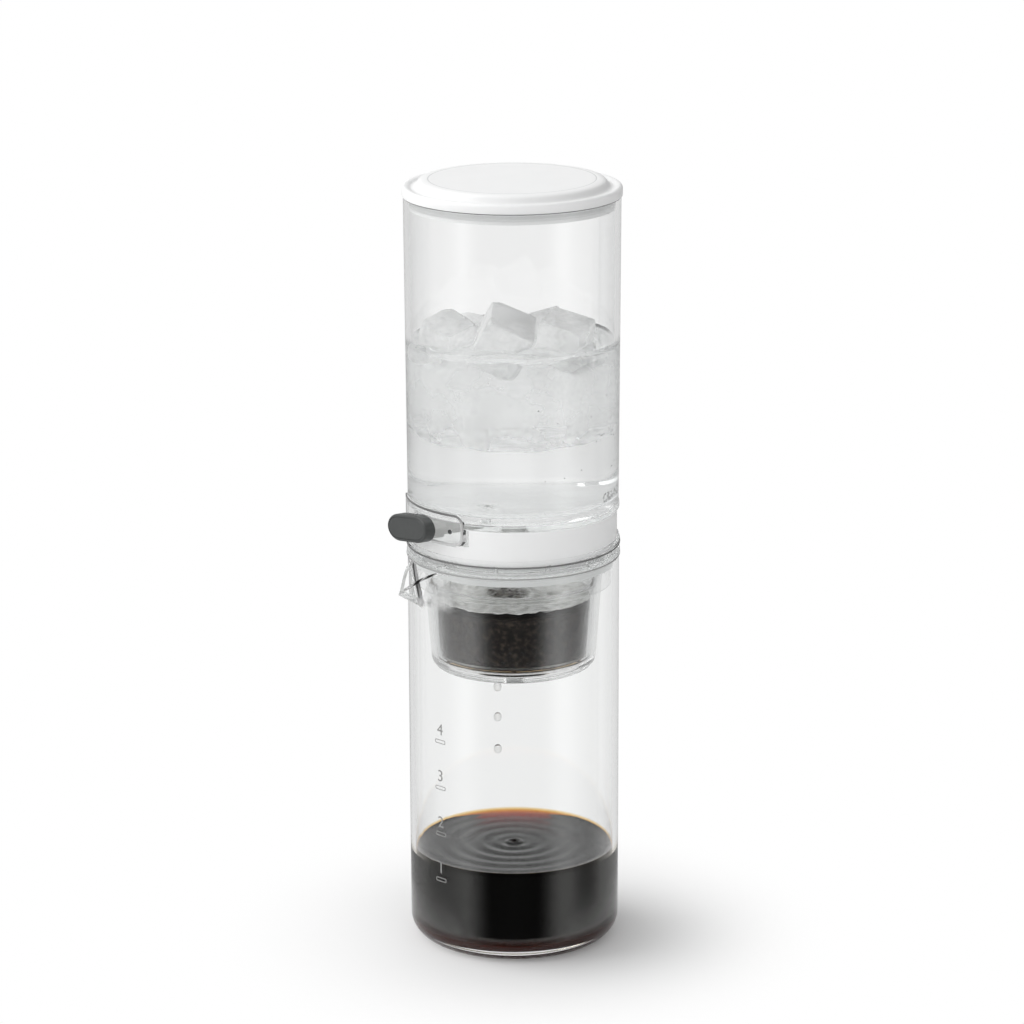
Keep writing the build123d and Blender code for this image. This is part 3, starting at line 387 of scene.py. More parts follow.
@dataclass(frozen=True)
class WetPaper:
    """Soaked filter paper: grey, shiny in the folds, with a dark stain where the drops land."""

    name: str
    stain_centre: Pair
    stain_radius: float
    fringe: Pair = (4.0, 9.0)
    ragged: float = 12.0

    def make(self) -> Material:
        """Returns the material."""
        graph = Graph(self.name)
        ragged = graph.calc("MULTIPLY", graph.grain(420, 4), self.ragged * MM)
        away = graph.calc("ADD", graph.away(*self.stain_centre), ragged)
        clean = graph.rise(away, *(self.stain_radius + width for width in self.fringe))
        dry = graph.ramp(graph.grain(260, 5), [
            (0.25, (0.42, 0.41, 0.39)), (0.5, (0.8, 0.79, 0.77)), (0.7, (0.97, 0.96, 0.95))])
        wet = graph.ramp(graph.grain(700, 4), [(0.35, (0.015, 0.012, 0.01)), (0.62, (0.16, 0.14, 0.12))])
        return graph.finish(graph.get("BsdfPrincipled", {
            "Base Color": graph.tones(clean, wet, dry), "Roughness": 0.28, "IOR": 1.38,
            "Normal": graph.bump(graph.grain(520, 4), 0.35)}))


@dataclass(frozen=True)
class Grained:
    """Dull material whose tones, and bumps if it has any, follow one grain."""

    name: str
    scale: float
    detail: float
    tones: Stops
    roughness: float
    ior: float
    depth: float = 0.0

    def make(self) -> Material:
        """Returns the material."""
        graph = Graph(self.name)
        grain = graph.grain(self.scale, self.detail)
        bumps = {"Normal": graph.bump(grain, self.depth)} if self.depth else {}
        return graph.finish(graph.get("BsdfPrincipled", {
            "Base Color": graph.ramp(grain, self.tones), "Roughness": self.roughness, "IOR": self.ior, **bumps}))


@dataclass(frozen=True)
class PaintedShadeLine:
    """Opaque stand-in for a rounded edge of clear plastic, in painted shade: the dark line that such an edge shows,
    darker towards the top.
    """

    name: str
    low: float
    high: float

    def make(self) -> Material:
        """Returns the material."""
        graph = Graph(self.name)
        rise = graph.rise(graph.axis("Z"), self.low, self.high)
        # Painted shade: light grey at the low height, near black at the high one.
        tone = graph.ramp(rise, [(0.0, (0.62,) * 3), (0.75, (0.5,) * 3), (1.0, (0.2,) * 3)])
        return graph.finish(graph.get("BsdfPrincipled", {
            "Base Color": tone, "Roughness": 0.25, "IOR": 1.2, "Normal": graph.bump(graph.grain(300), 0.02)}))


@dataclass(frozen=True)
class Coffee:
    """Brewed coffee with a thin clear wedge at its wall, turning to a dark matt brown below a height."""

    name: str
    wall: float = 40.4
    wedge: float = 37.5
    dark_below: float = 7.5
    dark_fade: float = 3.0
    depth_colour: Colour = (0.87, 0.6, 0.02)
    density: float = 1000.0

    def make(self) -> Material:
        """Returns the material."""
        graph = Graph(self.name)
        height = graph.axis("Z")
        rim = graph.calc("MULTIPLY", graph.calc("GREATER_THAN", graph.away(), self.wall * MM),
                         graph.calc("GREATER_THAN", height, self.wedge * MM))
        # Below a height the coffee fades into a flat dark brown.
        low = graph.rise(height, self.dark_below + self.dark_fade, self.dark_below)
        wet = graph.blend(rim, graph.clear(WHITE, 1.34), graph.get("BsdfTransparent"))
        both = graph.blend(low, wet, graph.get("BsdfDiffuse", {"Color": (0.03, 0.004, 0.001, 1.0)}))
        depth = graph.get("VolumeAbsorption", {"Color": (*self.depth_colour, 1), "Density": self.density})
        return graph.finish(both, Volume=depth)


def shown(name: str, data: bpy.types.ID) -> Object:
    """Makes an object of its data and puts it in the scene.

    Args:
        name: Name of the object.
        data: Its mesh, text, camera or lamp.

    Returns:
        The new object.
    """
    item = bpy.data.objects.new(name, data)
    bpy.context.scene.collection.objects.link(item)
    return item


def polar(radius: float, turn: float, height: float) -> Vector:
    """Point at a radius, an angle and a height."""
    return Vector((radius * math.cos(turn), radius * math.sin(turn), height))


def around(steps: int) -> list[float]:
    """Angles of even steps round a circle."""
    return [math.tau * step / steps for step in range(steps)]


def stored(name: str, mesh: Mesh) -> Data:
    """Stores a mesh as data in metres and frees it.

    Args:
        name: Name of the data.
        mesh: The mesh, in millimetres.

    Returns:
        The data.
    """
    bmesh.ops.scale(mesh, vec=(MM, MM, MM), verts=mesh.verts)
    data = bpy.data.meshes.new(name)
    mesh.to_mesh(data)
    mesh.free()
    return data


def lay(name: str, shape: Mesh | Data, finish: Material, body: Body,
        smooth: bool = True) -> None:
    """Makes a piece and lets it ride.

    Args:
        name: Name of the piece.
        shape: Its mesh in millimetres, which is freed, or its data in metres.
        finish: Its material.
        body: Body that it rides on.
        smooth: Whether its faces are shaded smooth.
    """
    data = stored(name, shape) if isinstance(shape, Mesh) else shape
    data.materials.clear()
    data.materials.append(finish)
    data.polygons.foreach_set("use_smooth", [smooth] * len(data.polygons))
    piece = shown(name, data)
    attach(piece, body.value)
    LOG.info("%s: %d faces on %s", name, len(data.polygons), body.value)


def skinned(loops: list[list[Vector]], closed: bool) -> Mesh:
    """Skin over a row of loops.

    Args:
        loops: Points of each loop; a loop of one point is a pole.
        closed: Whether the last loop joins the first.

    Returns:
        The mesh, in millimetres.
    """
    mesh = bmesh.new()
    rows = [[mesh.verts.new(point) for point in loop] for loop in loops]
    for low, high in zip(rows, rows[1:] + (rows[:1] if closed else [])):
        for step in range(max(len(low), len(high))):
            corners = [row[turn % len(row)] for row, turn in (
                (low, step), (low, step + 1), (high, step + 1), (high, step))]
            mesh.faces.new(tuple(dict.fromkeys(corners)))
    return mesh


def turned(profile: Profile, steps: int, relief: Callable[[float, float, float], float] | None = None) -> Mesh:
    """Turns a profile, listed from its lower pole to its upper one, about the centre line and adds a relief."""
    return skinned([[polar(radius, turn, height + (relief(radius, turn, height) if relief else 0.0))
                     for turn in around(steps if radius else 1)] for radius, height in profile], False)


def hollow(radius: float, floor: float, fillet: float, steps: int = 10) -> Profile:
    """Rounded inside corner, from the floor to the wall at a radius."""
    turns = [math.pi / 2 * step / steps for step in range(steps + 1)]
    return [(radius - fillet + fillet * math.sin(a), floor + fillet - fillet * math.cos(a)) for a in turns]


def inward(edge: float, level: float, rows: int) -> Profile:
    """Level rows from inside an edge to the centre line."""
    return [(edge * (1 - step / rows), level) for step in range(1, rows)] + [(0.0, level)]


def rounded(half_wide: float, half_high: float, curve: float, steps: int) -> list[tuple[float, float, float]]:
    """Outline of a rectangle with round corners.

    Args:
        half_wide: Half its width.
        half_high: Half its height.
        curve: Radius of its corners.
        steps: Runs along each corner.

    Returns:
        Places across and up, anticlockwise, each with the angle that points outwards.
    """
    outline = []
    for right, up, start in ((1, 1, 0), (-1, 1, 90), (-1, -1, 180), (1, -1, 270)):
        for step in range(steps + 1):
            angle = math.radians(start + 90 * step / steps)
            outline.append((right * (half_wide - curve) + curve * math.cos(angle),
                            up * (half_high - curve) + curve * math.sin(angle), angle))
    return outline


@dataclass
class Studio:
    """Camera, floor, lamps and surroundings; lengths are in millimetres unless they say metres."""

    bounces: int = 32
    distance: float = 1568.09
    height: float = 604.60
    pitch: float = 15.157
    azimuth: float = -30.0
    roll: float = -0.2
    lens: float = 140.72
    shift: float = -0.0012
    floor_half: float = 6000.0
    white_for_camera: Pair = (40.0, 138.0)
    white_through_glass: Pair = (12.0, 30.0)
    gone_away: Pair = (50.0, 110.0)
    gone_ahead: Pair = (43.0, 60.0)
    lamps_in_metres: Rows = (
        ("key", -1.0, -0.15, 1.15, 1.2, 8.8), ("fill", 0.9, 1.1, 0.9, 1.4, 1.5))
    aim_in_metres: float = 0.12
    ambient: float = 0.95
    ambient_left: float = 0.12
    shade_left: Pair = (-0.9, 0.1)
    gloss_level: float = 0.52
    glass_level: float = 1.0
    front_level: float = 0.04
    front: Pair = (0.5, 0.85)
    room: Rows = (
        (-1.0, 0.1), (-0.94, 0.3), (-0.86, 0.78), (-0.6, 0.86), (-0.35, 0.84), (-0.17, 0.92), (-0.06, 1.0),
        (0.075, 1.0), (0.1, 0.96), (0.3, 0.9), (0.5, 0.82), (0.8, 0.78), (1.0, 0.42))

    def build(self) -> None:
        """Sets up everything round the coffee maker."""
        self.camera()
        self.lamps()
        self.floor()
        self.surroundings()
        scene = bpy.context.scene
        scene.view_settings.view_transform = "Standard"
        cycles = scene.cycles
        cycles.use_denoising = True
        cycles.max_bounces = cycles.transparent_max_bounces = self.bounces
        cycles.transmission_bounces = cycles.glossy_bounces = self.bounces
        cycles.caustics_reflective = cycles.caustics_refractive = False
        LOG.info("studio ready")

    def toward(self, right: float, near: float, up: float) -> Vector:
        """Point by its distances to the camera's right, towards the camera and up, from the origin."""
        across = Vector((math.cos(math.radians(self.azimuth)), math.sin(math.radians(self.azimuth)), 0))
        return across * right + Vector((across.y, -across.x, 0)) * near + Vector((0, 0, up))

    def camera(self) -> None:
        """Places the camera."""
        data = bpy.data.cameras.new("camera")
        data.lens = self.lens
        data.shift_x = self.shift
        aim = Matrix.Rotation(math.radians(self.azimuth), 4, "Z") @ \
            Matrix.Rotation(math.radians(90 - self.pitch), 4, "X") @ \
            Matrix.Rotation(math.radians(self.roll), 4, "Z")
        camera = shown("camera", data)
        camera.matrix_world = Matrix.Translation(self.toward(0, self.distance * MM, self.height * MM)) @ aim
        bpy.context.scene.camera = camera

    def lamps(self) -> None:
        """Hangs the soft lamps, each listed by name, place, size and power."""
        for name, right, near, up, size, power in self.lamps_in_metres:
            data = bpy.data.lights.new(name, "AREA")
            data.size = size
            data.energy = power
            spot = self.toward(right, near, up)
            shown(name, data).matrix_world = Matrix.Translation(spot) @ (
                Vector((0, 0, self.aim_in_metres)) - spot).to_track_quat("-Z", "Y").to_matrix().to_4x4()

    def floor(self) -> None:
        """Lays the floor, which fades into white away from the object.

        Gloss and glass see the floor only near the object; past that they see the room.
        """
        graph = Graph("pale_floor")
        away = graph.away()
        fade = graph.rise(away, *self.white_for_camera, "SMOOTHERSTEP")
        near, far = (graph.rise(away, *ends, "SMOOTHSTEP") for ends in (self.white_through_glass, self.gone_away))
        front = graph.reach("DOT_PRODUCT", graph.place, self.toward(0, 1, 0))
        ahead = graph.rise(front, *self.gone_ahead, "SMOOTHSTEP")
        tone = graph.ramp(graph.grain(30), [(0.0, (0.94,) * 3), (1.0, (0.95,) * 3)])
        white = graph.calc("MAXIMUM", graph.calc("MULTIPLY", graph.ray("Is Camera Ray"), fade),
                           graph.calc("MULTIPLY", graph.ray("Is Transmission Ray"), near))
        lit = graph.blend(white, graph.get("BsdfDiffuse", {"Color": tone}), graph.get("Emission", {"Strength": 1.0}))
        gone = graph.calc("MULTIPLY", graph.calc("MAXIMUM", graph.ray("Is Glossy Ray"), graph.ray(
            "Is Transmission Ray")), graph.calc("MAXIMUM", far, ahead))
        both = graph.blend(gone, lit, graph.get("BsdfTransparent"))
        mesh = bpy.data.meshes.new("floor")
        half = self.floor_half * MM
        mesh.from_pydata([(-half, -half, 0), (half, -half, 0), (half, half, 0), (-half, half, 0)], [], [(0, 1, 2, 3)])
        mesh.materials.append(graph.finish(both))
        floor = shown("floor", mesh)

    def surroundings(self) -> None:
        """Lights the room: white behind, greyer at the sides and in front, as gloss and glass see it."""
        world = bpy.data.worlds.new("room")
        bpy.context.scene.world = world
        world.use_nodes = True
        room = Nodes(world.node_tree)
        way = room.get("TexCoord", None, "Generated")
        front = room.reach("DOT_PRODUCT", way, self.toward(0, 1, 0))
        left = room.reach("DOT_PRODUCT", way, self.toward(-1, 0, 0))
        sides = room.ramp(room.span(left, (-1.0, 1.0)), [((spot + 1) / 2, (level,) * 3) for spot, level in self.room])
        shade = room.span(left, self.shade_left, (self.ambient_left, 1.0), "SMOOTHSTEP")
        soft = room.calc("MULTIPLY", shade, self.ambient)
        gloss, glass = (room.calc("MULTIPLY", room.span(
            front, self.front, (most, self.front_level), "SMOOTHSTEP"), sides)
            for most in (self.gloss_level, self.glass_level))
        light, *seen = (room.get("Background", {"Color": WHITE, "Strength": level})
                        for level in (soft, gloss, glass, 1.0))
        for ray, other in zip(("Is Glossy Ray", "Is Transmission Ray", "Is Camera Ray"), seen):
            light = room.blend(room.ray(ray), light, other)
        room.add("ShaderNodeOutputWorld", {"Surface": light})


@dataclass
class Casework:
    """Finishes of the coffee maker's own parts."""

    finishes: Rows = (
        (Slot.GLASS, ClearWall(
            "carafe_glass_finish", 1.48, (0.988, 0.992, 0.99), 0.6,
            ((0.8, (0.94, 0.945, 0.945)), (0.985, (0.72, 0.73, 0.73))), (151, 168), -41, 4)),
        (Slot.CLEAR, ClearWall(
            "clear_plastic_finish", 1.49, (0.99, 0.992, 0.991), 0.36,
            ((0.44, (0.92, 0.925, 0.925)), (0.985, (0.74, 0.745, 0.745))), (163.5, 171.2), 60, 0.5)),
        (Slot.FROSTED, Moulded(
            "frosted_band_finish", (0.97, 0.975, 0.975), (0.955, 0.96, 0.96), 0.5, glow=0.3, passes=0.8)),
        # The lid gets a thin ring of painted shade where its crease is.
        (Slot.LID, Moulded(
            "lid_finish", (0.95, 0.955, 0.955), (0.93, 0.935, 0.935), 0.42, glow=0.3, passes=0.8, painted_crease_radius=33.4)),
        (Slot.GREY, Moulded("knob_finish", (0.07, 0.074, 0.073), (0.06, 0.064, 0.063), 0.42, depth=0.03)),
        (Slot.WHITE, Moulded("valve_plastic_finish", (0.86, 0.86, 0.85), (0.83, 0.83, 0.82), 0.45)),
        (Slot.SILICONE, MilkySilicone("silicone_finish")),
        (Slot.RUBBER, Moulded("rubber_finish", (0.03,) * 3, (0.025,) * 3, 0.6)),
        (Slot.STEEL, TurnedSteel("turned_steel_finish")),
        (Slot.MESH, TurnedSteel("woven_mesh_finish", woven=True)))

    def dress(self, frame: dict) -> None:
        """Gives every node the finish of its slot.

        Args:
            frame: The loaded frame.
        """
        made = {slot.value: finish.make() for slot, finish in self.finishes}
        for part in frame["record"]["subparts"]:
            node = frame["nodes"][part["node"]]
            for place in node.material_slots:
                place.material = made[part["material_slot"]]
            LOG.info("%s: %s", part["node"], part["material_slot"])


@dataclass
class BrewedCoffee:
    """Coffee in the carafe, with rings from the last drop."""

    bore: float = 40.84
    bottom: float = 4.96
    corner: float = 6.04
    level: float = 38.4
    meniscus: float = 1.1
    meniscus_run: float = 1.4
    wavelength: float = 7.0
    ripple: float = 0.15
    ripple_reach: float = 30.0
    ripple_side: float = 205.0
    ripple_lean: float = 0.6
    crater: Pair = (-0.9, 1.3)
    crater_rim: tuple[float, float, float] = (0.5, 2.6, 0.9)
    steps: int = 256
    pool: Rows = (
        (0, 120.6), (5, 120.6), (5, 119.6), (26, 119.6), (27.4, 120.3), (27.6, 121.3), (0, 121.3))
    finish: Coffee = Coffee("brewed_coffee_finish")
    pool_finish: Coffee = Coffee("pooled_coffee_finish", dark_below=-50.0)

    def surface(self, radius: float, turn: float, height: float) -> float:
        """Rise of the surface at a point.

        Args:
            radius: Radius of the point.
            turn: Angle of the point.
            height: Height of the point.

        Returns:
            The rise.
        """
        if height < self.level:
            return 0.0
        wall = self.meniscus * math.exp(-(self.bore - radius) / self.meniscus_run)
        lean = 1 + self.ripple_lean * math.cos(turn - math.radians(self.ripple_side))
        swell = lean * self.ripple * math.cos(math.tau * radius / self.wavelength) * \
            math.exp(-radius / self.ripple_reach)
        deep, wide = self.crater
        tall, out, thick = self.crater_rim
        return wall + swell + deep * math.exp(-(radius / wide) ** 2) + tall * math.exp(-((radius - out) / thick) ** 2)

    def build(self) -> None:
        """Pours the coffee."""
        wall = [(self.bore, self.level - 1.0), (self.bore, self.level)]
        edge = [(self.bore - 0.15 * step, self.level) for step in range(1, 21)]
        profile = [(0.0, self.bottom), (15.0, self.bottom)] + hollow(
            self.bore, self.bottom, self.corner, 16) + wall + edge + inward(edge[-1][0], self.level, 120)
        mesh = turned(profile, self.steps, self.surface)
        lay("brewed_coffee", mesh, self.finish.make(), Body.CARAFE)
        lay("pooled_coffee", turned(list(self.pool), 160), self.pool_finish.make(), Body.CHAMBER)


@dataclass
class TankWater:
    """Water in the tank, up to its level on the tapered wall."""

    foot_bore: float = 40.75
    foot_height: float = 185.0
    draft: float = 0.34
    floor: float = 187.47
    corner: float = 3.0
    level: float = 252.0
    overlap: float = 0.04
    meniscus: float = 1.2
    swell: float = 0.25
    steps: int = 256
    finish: Liquid = Liquid("water_finish", 1.333, (0.985, 0.99, 0.99))

    def bore(self, height: float) -> float:
        """Radius of the water at a height."""
        return self.foot_bore + self.overlap + (height - self.foot_height) * math.tan(math.radians(self.draft))

    def surface(self, radius: float, turn: float, height: float) -> float:
        """Rise of the surface at a point, which is none below the level."""
        wall = self.meniscus * math.exp(-(self.bore(self.level) - radius) / self.meniscus)
        return 0.0 if height < self.level else wall + self.swell * noise.noise(polar(radius, turn, 0) * 0.09)

    def build(self) -> None:
        """Fills the tank."""
        top = self.bore(self.level)
        wall = [(self.bore(height), height) for height in (200.0, 220.0, 240.0, 250.0, self.level)]
        edge = [(top - 0.3 * step, self.level) for step in range(1, 13)]
        profile = [(0.0, self.floor), (20.0, self.floor)] + hollow(
            self.bore(self.floor + self.corner), self.floor, self.corner) + wall + edge + \
            inward(edge[-1][0], self.level, 40)
        lay("tank_water", turned(profile, self.steps, self.surface), self.finish.make(), Body.TANK)


@dataclass
class IceCubes:
    """Melting cubes that float in the tank, at places as the studio's camera sees them."""

    studio: Studio
    cubes: Rows = (
        (-25.5, 6, 252.6, 18, 0.3), (-3.5, 9, 253.8, 20, 1.1), (20.5, 8, 253, 19, 2.2), (-14, -17, 249, 17, 0.8),
        (11, -18, 250, 17, 1.7))
    melt: float = 1.5
    seed: int = 7
    raft: Rows = (
        (0, 213.4), (8, 213.3), (16, 213.2), (24, 213.1), (29, 213.2), (31.5, 214), (32.8, 215.8), (33.4, 219),
        (33.6, 224), (33.7, 229), (33.8, 234), (33.8, 239), (33.4, 243), (31.5, 246), (27, 247.4), (18, 247.8),
        (9, 248), (0, 248))
    raft_wear: float = 1.3
    finish: CloudyIce = CloudyIce("ice_finish")
    raft_finish: CloudyIce = CloudyIce("sunken_ice_finish", 0.12, 0.4, 1.03)

    def chunk(self, dice: random.Random, size: float) -> Mesh:
        """One broken cube with flat faces and melted edges.

        Args:
            dice: Source of its irregular corners.
            size: Width of it, in millimetres.

        Returns:
            The mesh, in millimetres, round the centre.
        """
        mesh = bmesh.new()
        for corner in product((-1, 1), repeat=3):
            for axis in range(3):
                point = [sign * size / 2 for sign in corner]
                point[axis] *= 1 - dice.uniform(0.1, 0.55)
                mesh.verts.new(Vector(point) * dice.uniform(0.88, 1.02))
        hull = bmesh.ops.convex_hull(mesh, input=mesh.verts)
        inner = [item for item in hull["geom_interior"] if isinstance(item, bmesh.types.BMVert)]
        bmesh.ops.delete(mesh, geom=inner, context="VERTS")
        bmesh.ops.dissolve_limit(mesh, angle_limit=0.12, verts=mesh.verts, edges=mesh.edges)
        bmesh.ops.bevel(mesh, geom=mesh.edges, offset=self.melt, segments=4, profile=0.5, affect="EDGES",
                        clamp_overlap=True)
        bmesh.ops.triangulate(mesh, faces=[face for face in mesh.faces if len(face.verts) > 4])
        return mesh

    def build(self) -> None:
        """Drops the cubes in, and the ice that has sunk between them."""
        finish = self.finish.make()
        dice = random.Random(self.seed)
        for index, (right, near, up, size, turn) in enumerate(self.cubes, 1):
            mesh = self.chunk(dice, size)
            tilt = Matrix.Rotation(turn, 4, "Z") @ Matrix.Rotation(dice.uniform(-0.5, 0.5), 4, "X") @ \
                Matrix.Rotation(dice.uniform(-0.5, 0.5), 4, "Y")
            spot = self.studio.toward(right, near, up)
            bmesh.ops.transform(mesh, matrix=Matrix.Translation(spot) @ tilt, verts=mesh.verts)
            lay(f"ice_cube_{index}", mesh, finish, Body.TANK)
        mesh = turned(list(self.raft), 128)
        noise.seed_set(self.seed)
        for vertex in mesh.verts:
            vertex.co += self.raft_wear * noise.noise_vector(vertex.co * 0.07)
        lay("sunken_ice", mesh, self.raft_finish.make(), Body.TANK)


@dataclass
class CupContents:
    """Ground coffee in the filter cup, and the wet paper disc on it."""

    foot: float = 123.3
    top: float = 143.6
    mouth_bore: float = 32.9
    mouth_height: float = 163.7
    draft: float = 4.3
    swell: float = 0.6
    gap: float = 0.1
    paper_rise: float = 1.0
    paper_thickness: float = 0.25
    folds: float = 0.55
    creases: float = 0.3
    curl: float = 1.6
    steps: int = 220
    finish: Grained = Grained("ground_coffee_finish", 520, 5, (
        (0.34, (0.005, 0.003, 0.002)), (0.52, (0.016, 0.01, 0.007)), (0.7, (0.06, 0.042, 0.03))), 0.45, 1.4, 0.5)
    paper_finish: WetPaper = WetPaper("wet_paper_finish", (-1.0, 4.0), 7.5)

    def bore(self, height: float) -> float:
        """Bore of the cup at a height."""
        return self.mouth_bore - (self.mouth_height - height) * math.tan(math.radians(self.draft))

    def bed(self, radius: float, turn: float, height: float) -> float:
        """Rise of the bed at a point, which is none below its top."""
        place = polar(radius, turn, 3.0)
        return 0.0 if height < self.top else self.swell * (noise.noise(place * 0.09) + 0.6 * noise.noise(place * 0.3))

    def crinkle(self, radius: float, turn: float, height: float) -> float:
        """Rise of the paper at a point, over the bed.

        Args:
            radius: Radius of the point.
            turn: Angle of the point.
            height: Height of the point.

        Returns:
            The rise.
        """
        place = polar(radius, turn, 8.0)
        folds = 1 - abs(noise.noise(place * 0.16)) * 2
        creases = 1 - abs(noise.noise(place * 0.42 + Vector((4, 0, 0)))) * 2
        curl = self.curl * max(0.0, (radius - 22) / 9.0) ** 2
        return self.paper_rise + self.bed(radius, turn, height) + self.folds * folds + self.creases * creases + curl

    def build(self) -> None:
        """Packs the ground coffee and lays the paper disc on it."""
        heights = [self.foot + (self.top - self.foot) * step / 10 for step in range(10)] + [self.top]
        side = [(self.bore(height) - self.gap, height) for height in heights]
        profile = [(0.0, self.foot), (15.0, self.foot)] + side + inward(side[-1][0], self.top, 30)
        mesh = turned(profile, self.steps, self.bed)
        lay("ground_coffee", mesh, self.finish.make(), Body.CUP)
        edge = self.bore(self.top + 1.0) - 0.35
        rows = 60
        low = [(edge * step / rows, self.top) for step in range(rows + 1)]
        high = [(radius, self.top + self.paper_thickness) for radius, height in reversed(low)]
        mesh = turned(low + high, self.steps, self.crinkle)
        lay("paper_disc", mesh, self.paper_finish.make(), Body.CUP)


@dataclass
class Drips:
    """Drops on their way from the chamber to the carafe, at the right of the studio's camera or left of it."""

    studio: Studio
    right: float = -6.7
    heights: tuple[float, ...] = (105.8, 92.8, 79.0)
    radius: float = 1.75
    length: float = 1.1
    taper: float = 0.1
    rows: int = 20
    steps: int = 40
    finish: Liquid = Liquid("drip_finish", 1.34, (0.93, 0.925, 0.92))

    def build(self) -> None:
        """Hangs the drops in the air."""
        finish = self.finish.make()
        half = self.radius * self.length
        for index, height in enumerate(self.heights, 1):
            profile = [(0.0, height - half)]
            for angle in (math.pi * row / self.rows for row in range(1, self.rows)):
                wide = self.radius * math.sin(angle) * (1 - self.taper * (1 - math.cos(angle)) / 2)
                profile.append((wide, height - half * math.cos(angle)))
            mesh = turned([*profile, (0.0, height + half)], self.steps)
            bmesh.ops.translate(mesh, vec=self.studio.toward(self.right, 0, 0), verts=mesh.verts)
            lay(f"drip_{index}", mesh, finish, Body.CHAMBER)


@dataclass
class HousingEdge:
    """Thick rounded edge of the valve housing, a bead along its outline, in painted shade that darkens towards its
    top.
    """

    radius: float = 43.4
    half_width: float = 22.9
    low: float = 176.2
    high: float = 188.1
    corner: float = 3.2
    half_bead: float = 0.5
    proud: float = 0.22
    run: float = 1.2

    def build(self) -> None:
        """Lays the bead."""
        places = rounded(self.half_width, (self.high - self.low) / 2, self.corner, 8)
        middle = (self.high + self.low) / 2
        path = []
        for one, two in zip(places, places[1:] + places[:1]):
            moves = two[0] - one[0], two[1] - one[1], (two[2] - one[2] + math.pi) % math.tau - math.pi
            runs = max(1, round(math.hypot(*moves[:2]) / self.run))
            path += [[start + move * step / runs for start, move in zip(one, moves)] for step in range(runs)]
        loops = []
        for across, up, angle in path:
            loop = []
            for spin in around(SPOKES):
                shift = self.half_bead * math.cos(spin)
                reach = self.radius + self.proud * math.sin(spin)
                side = across + shift * math.cos(angle)
                loop.append(Vector((-math.sqrt(reach ** 2 - side ** 2), side, middle + up + shift * math.sin(angle))))
            loops.append(loop)
        mesh = skinned(loops, True)
        bmesh.ops.recalc_face_normals(mesh, faces=mesh.faces)
        # The bead is painted as shade, darkest along the housing's top edge.
        finish = PaintedShadeLine("housing_edge_painted_shade", self.low, self.high)
        lay("housing_edge", mesh, finish.make(), Body.TANK)


@dataclass
class PaintedShadeRings:
    """Rounded edges of the collar and of the tank's rim, each a thin ring in painted shade: the dark shade lines at
    the collar's gaps and under the lid.
    """

    rings: Rows = (
        # Each ring is painted dark as the shade line at its edge or gap.
        ("collar_shade_line_1", Body.CHAMBER, 168.3, 43.34, 0.38, 0.12),
        ("collar_shade_line_2", Body.CHAMBER, 163.6, 43.32, 0.3, 0.12),
        ("tank_rim_shade_line", Body.TANK, 310.58, 43.62, 0.2, 0.14))
    steps: int = 240
    finish: PaintedShadeLine = PaintedShadeLine("edge_finish", 150.0, 166.0)

    def build(self) -> None:
        """Lays the rings, which are listed by name, body, height, radius, half width and rise."""
        finish = self.finish.make()
        for name, body, height, radius, half, rise in self.rings:
            loops = [[polar(radius + rise * math.cos(spin), turn, height + half * math.sin(spin))
                      for turn in around(self.steps)] for spin in around(SPOKES)]
            lay(name, skinned(loops, True), finish, body)


@dataclass
class Bubbles:
    """Air bubbles on the inside of the tank, scattered over small patches with Geometry Nodes.

    A patch is listed by its angles to the right of the studio's camera, its heights, and the size and number of
    its bubbles.
    """

    studio: Studio
    patches: Rows = (
        (60, 86, 188.9, 192.6, 0.5, 46), (-86, -76, 188.9, 191.8, 0.45, 10), (10, 78, 197, 236, 0.3, 12),
        (50, 80, 213, 219, 0.3, 12))
    radius: float = 40.0
    foot_height: float = 185.0
    draft: float = 0.34
    steps: int = 12
    # Painted shade: a dark grey tint makes the bubbles dark specks, standing in for the dark rims that bent light
    # gives them.
    finish: Liquid = Liquid("bubble_painted_shade_finish", 0.76, (0.2,) * 3)

    def patch(self, turns: Pair, heights: Pair) -> Object:
        """Makes the piece of wall that bubbles stick to.

        Args:
            turns: First and last angle, in degrees.
            heights: Lower and upper edge, in millimetres.

        Returns:
            The patch, in metres.
        """
        mesh = bmesh.new()
        rows = []
        angles = [math.radians(turns[0] + (turns[1] - turns[0]) * step / self.steps) for step in range(self.steps + 1)]
        for height in heights:
            reach = self.radius + (height - self.foot_height) * math.tan(math.radians(self.draft))
            rows.append([mesh.verts.new(self.studio.toward(reach * math.sin(angle), reach * math.cos(angle), height))
                         for angle in angles])
        for step in range(self.steps):
            mesh.faces.new((rows[0][step], rows[0][step + 1], rows[1][step + 1], rows[1][step]))
        return shown("bubble_patch", stored("bubble_patch", mesh))

    def build(self) -> None:
        """Scatters the bubbles."""
        finish = self.finish.make()
        for index, (left, right, low, high, size, count) in enumerate(self.patches, 1):
            area = math.radians(right - left) * self.radius * (high - low) * MM ** 2
            tree = Repeat(f"bubbles_{index}_tree", self.patch((left, right), (low, high)), finish, {
                "Density": count / area, "Size": size * MM, "Seed": index})
            lay(f"bubbles_{index}", tree.over(), finish, Body.TANK)


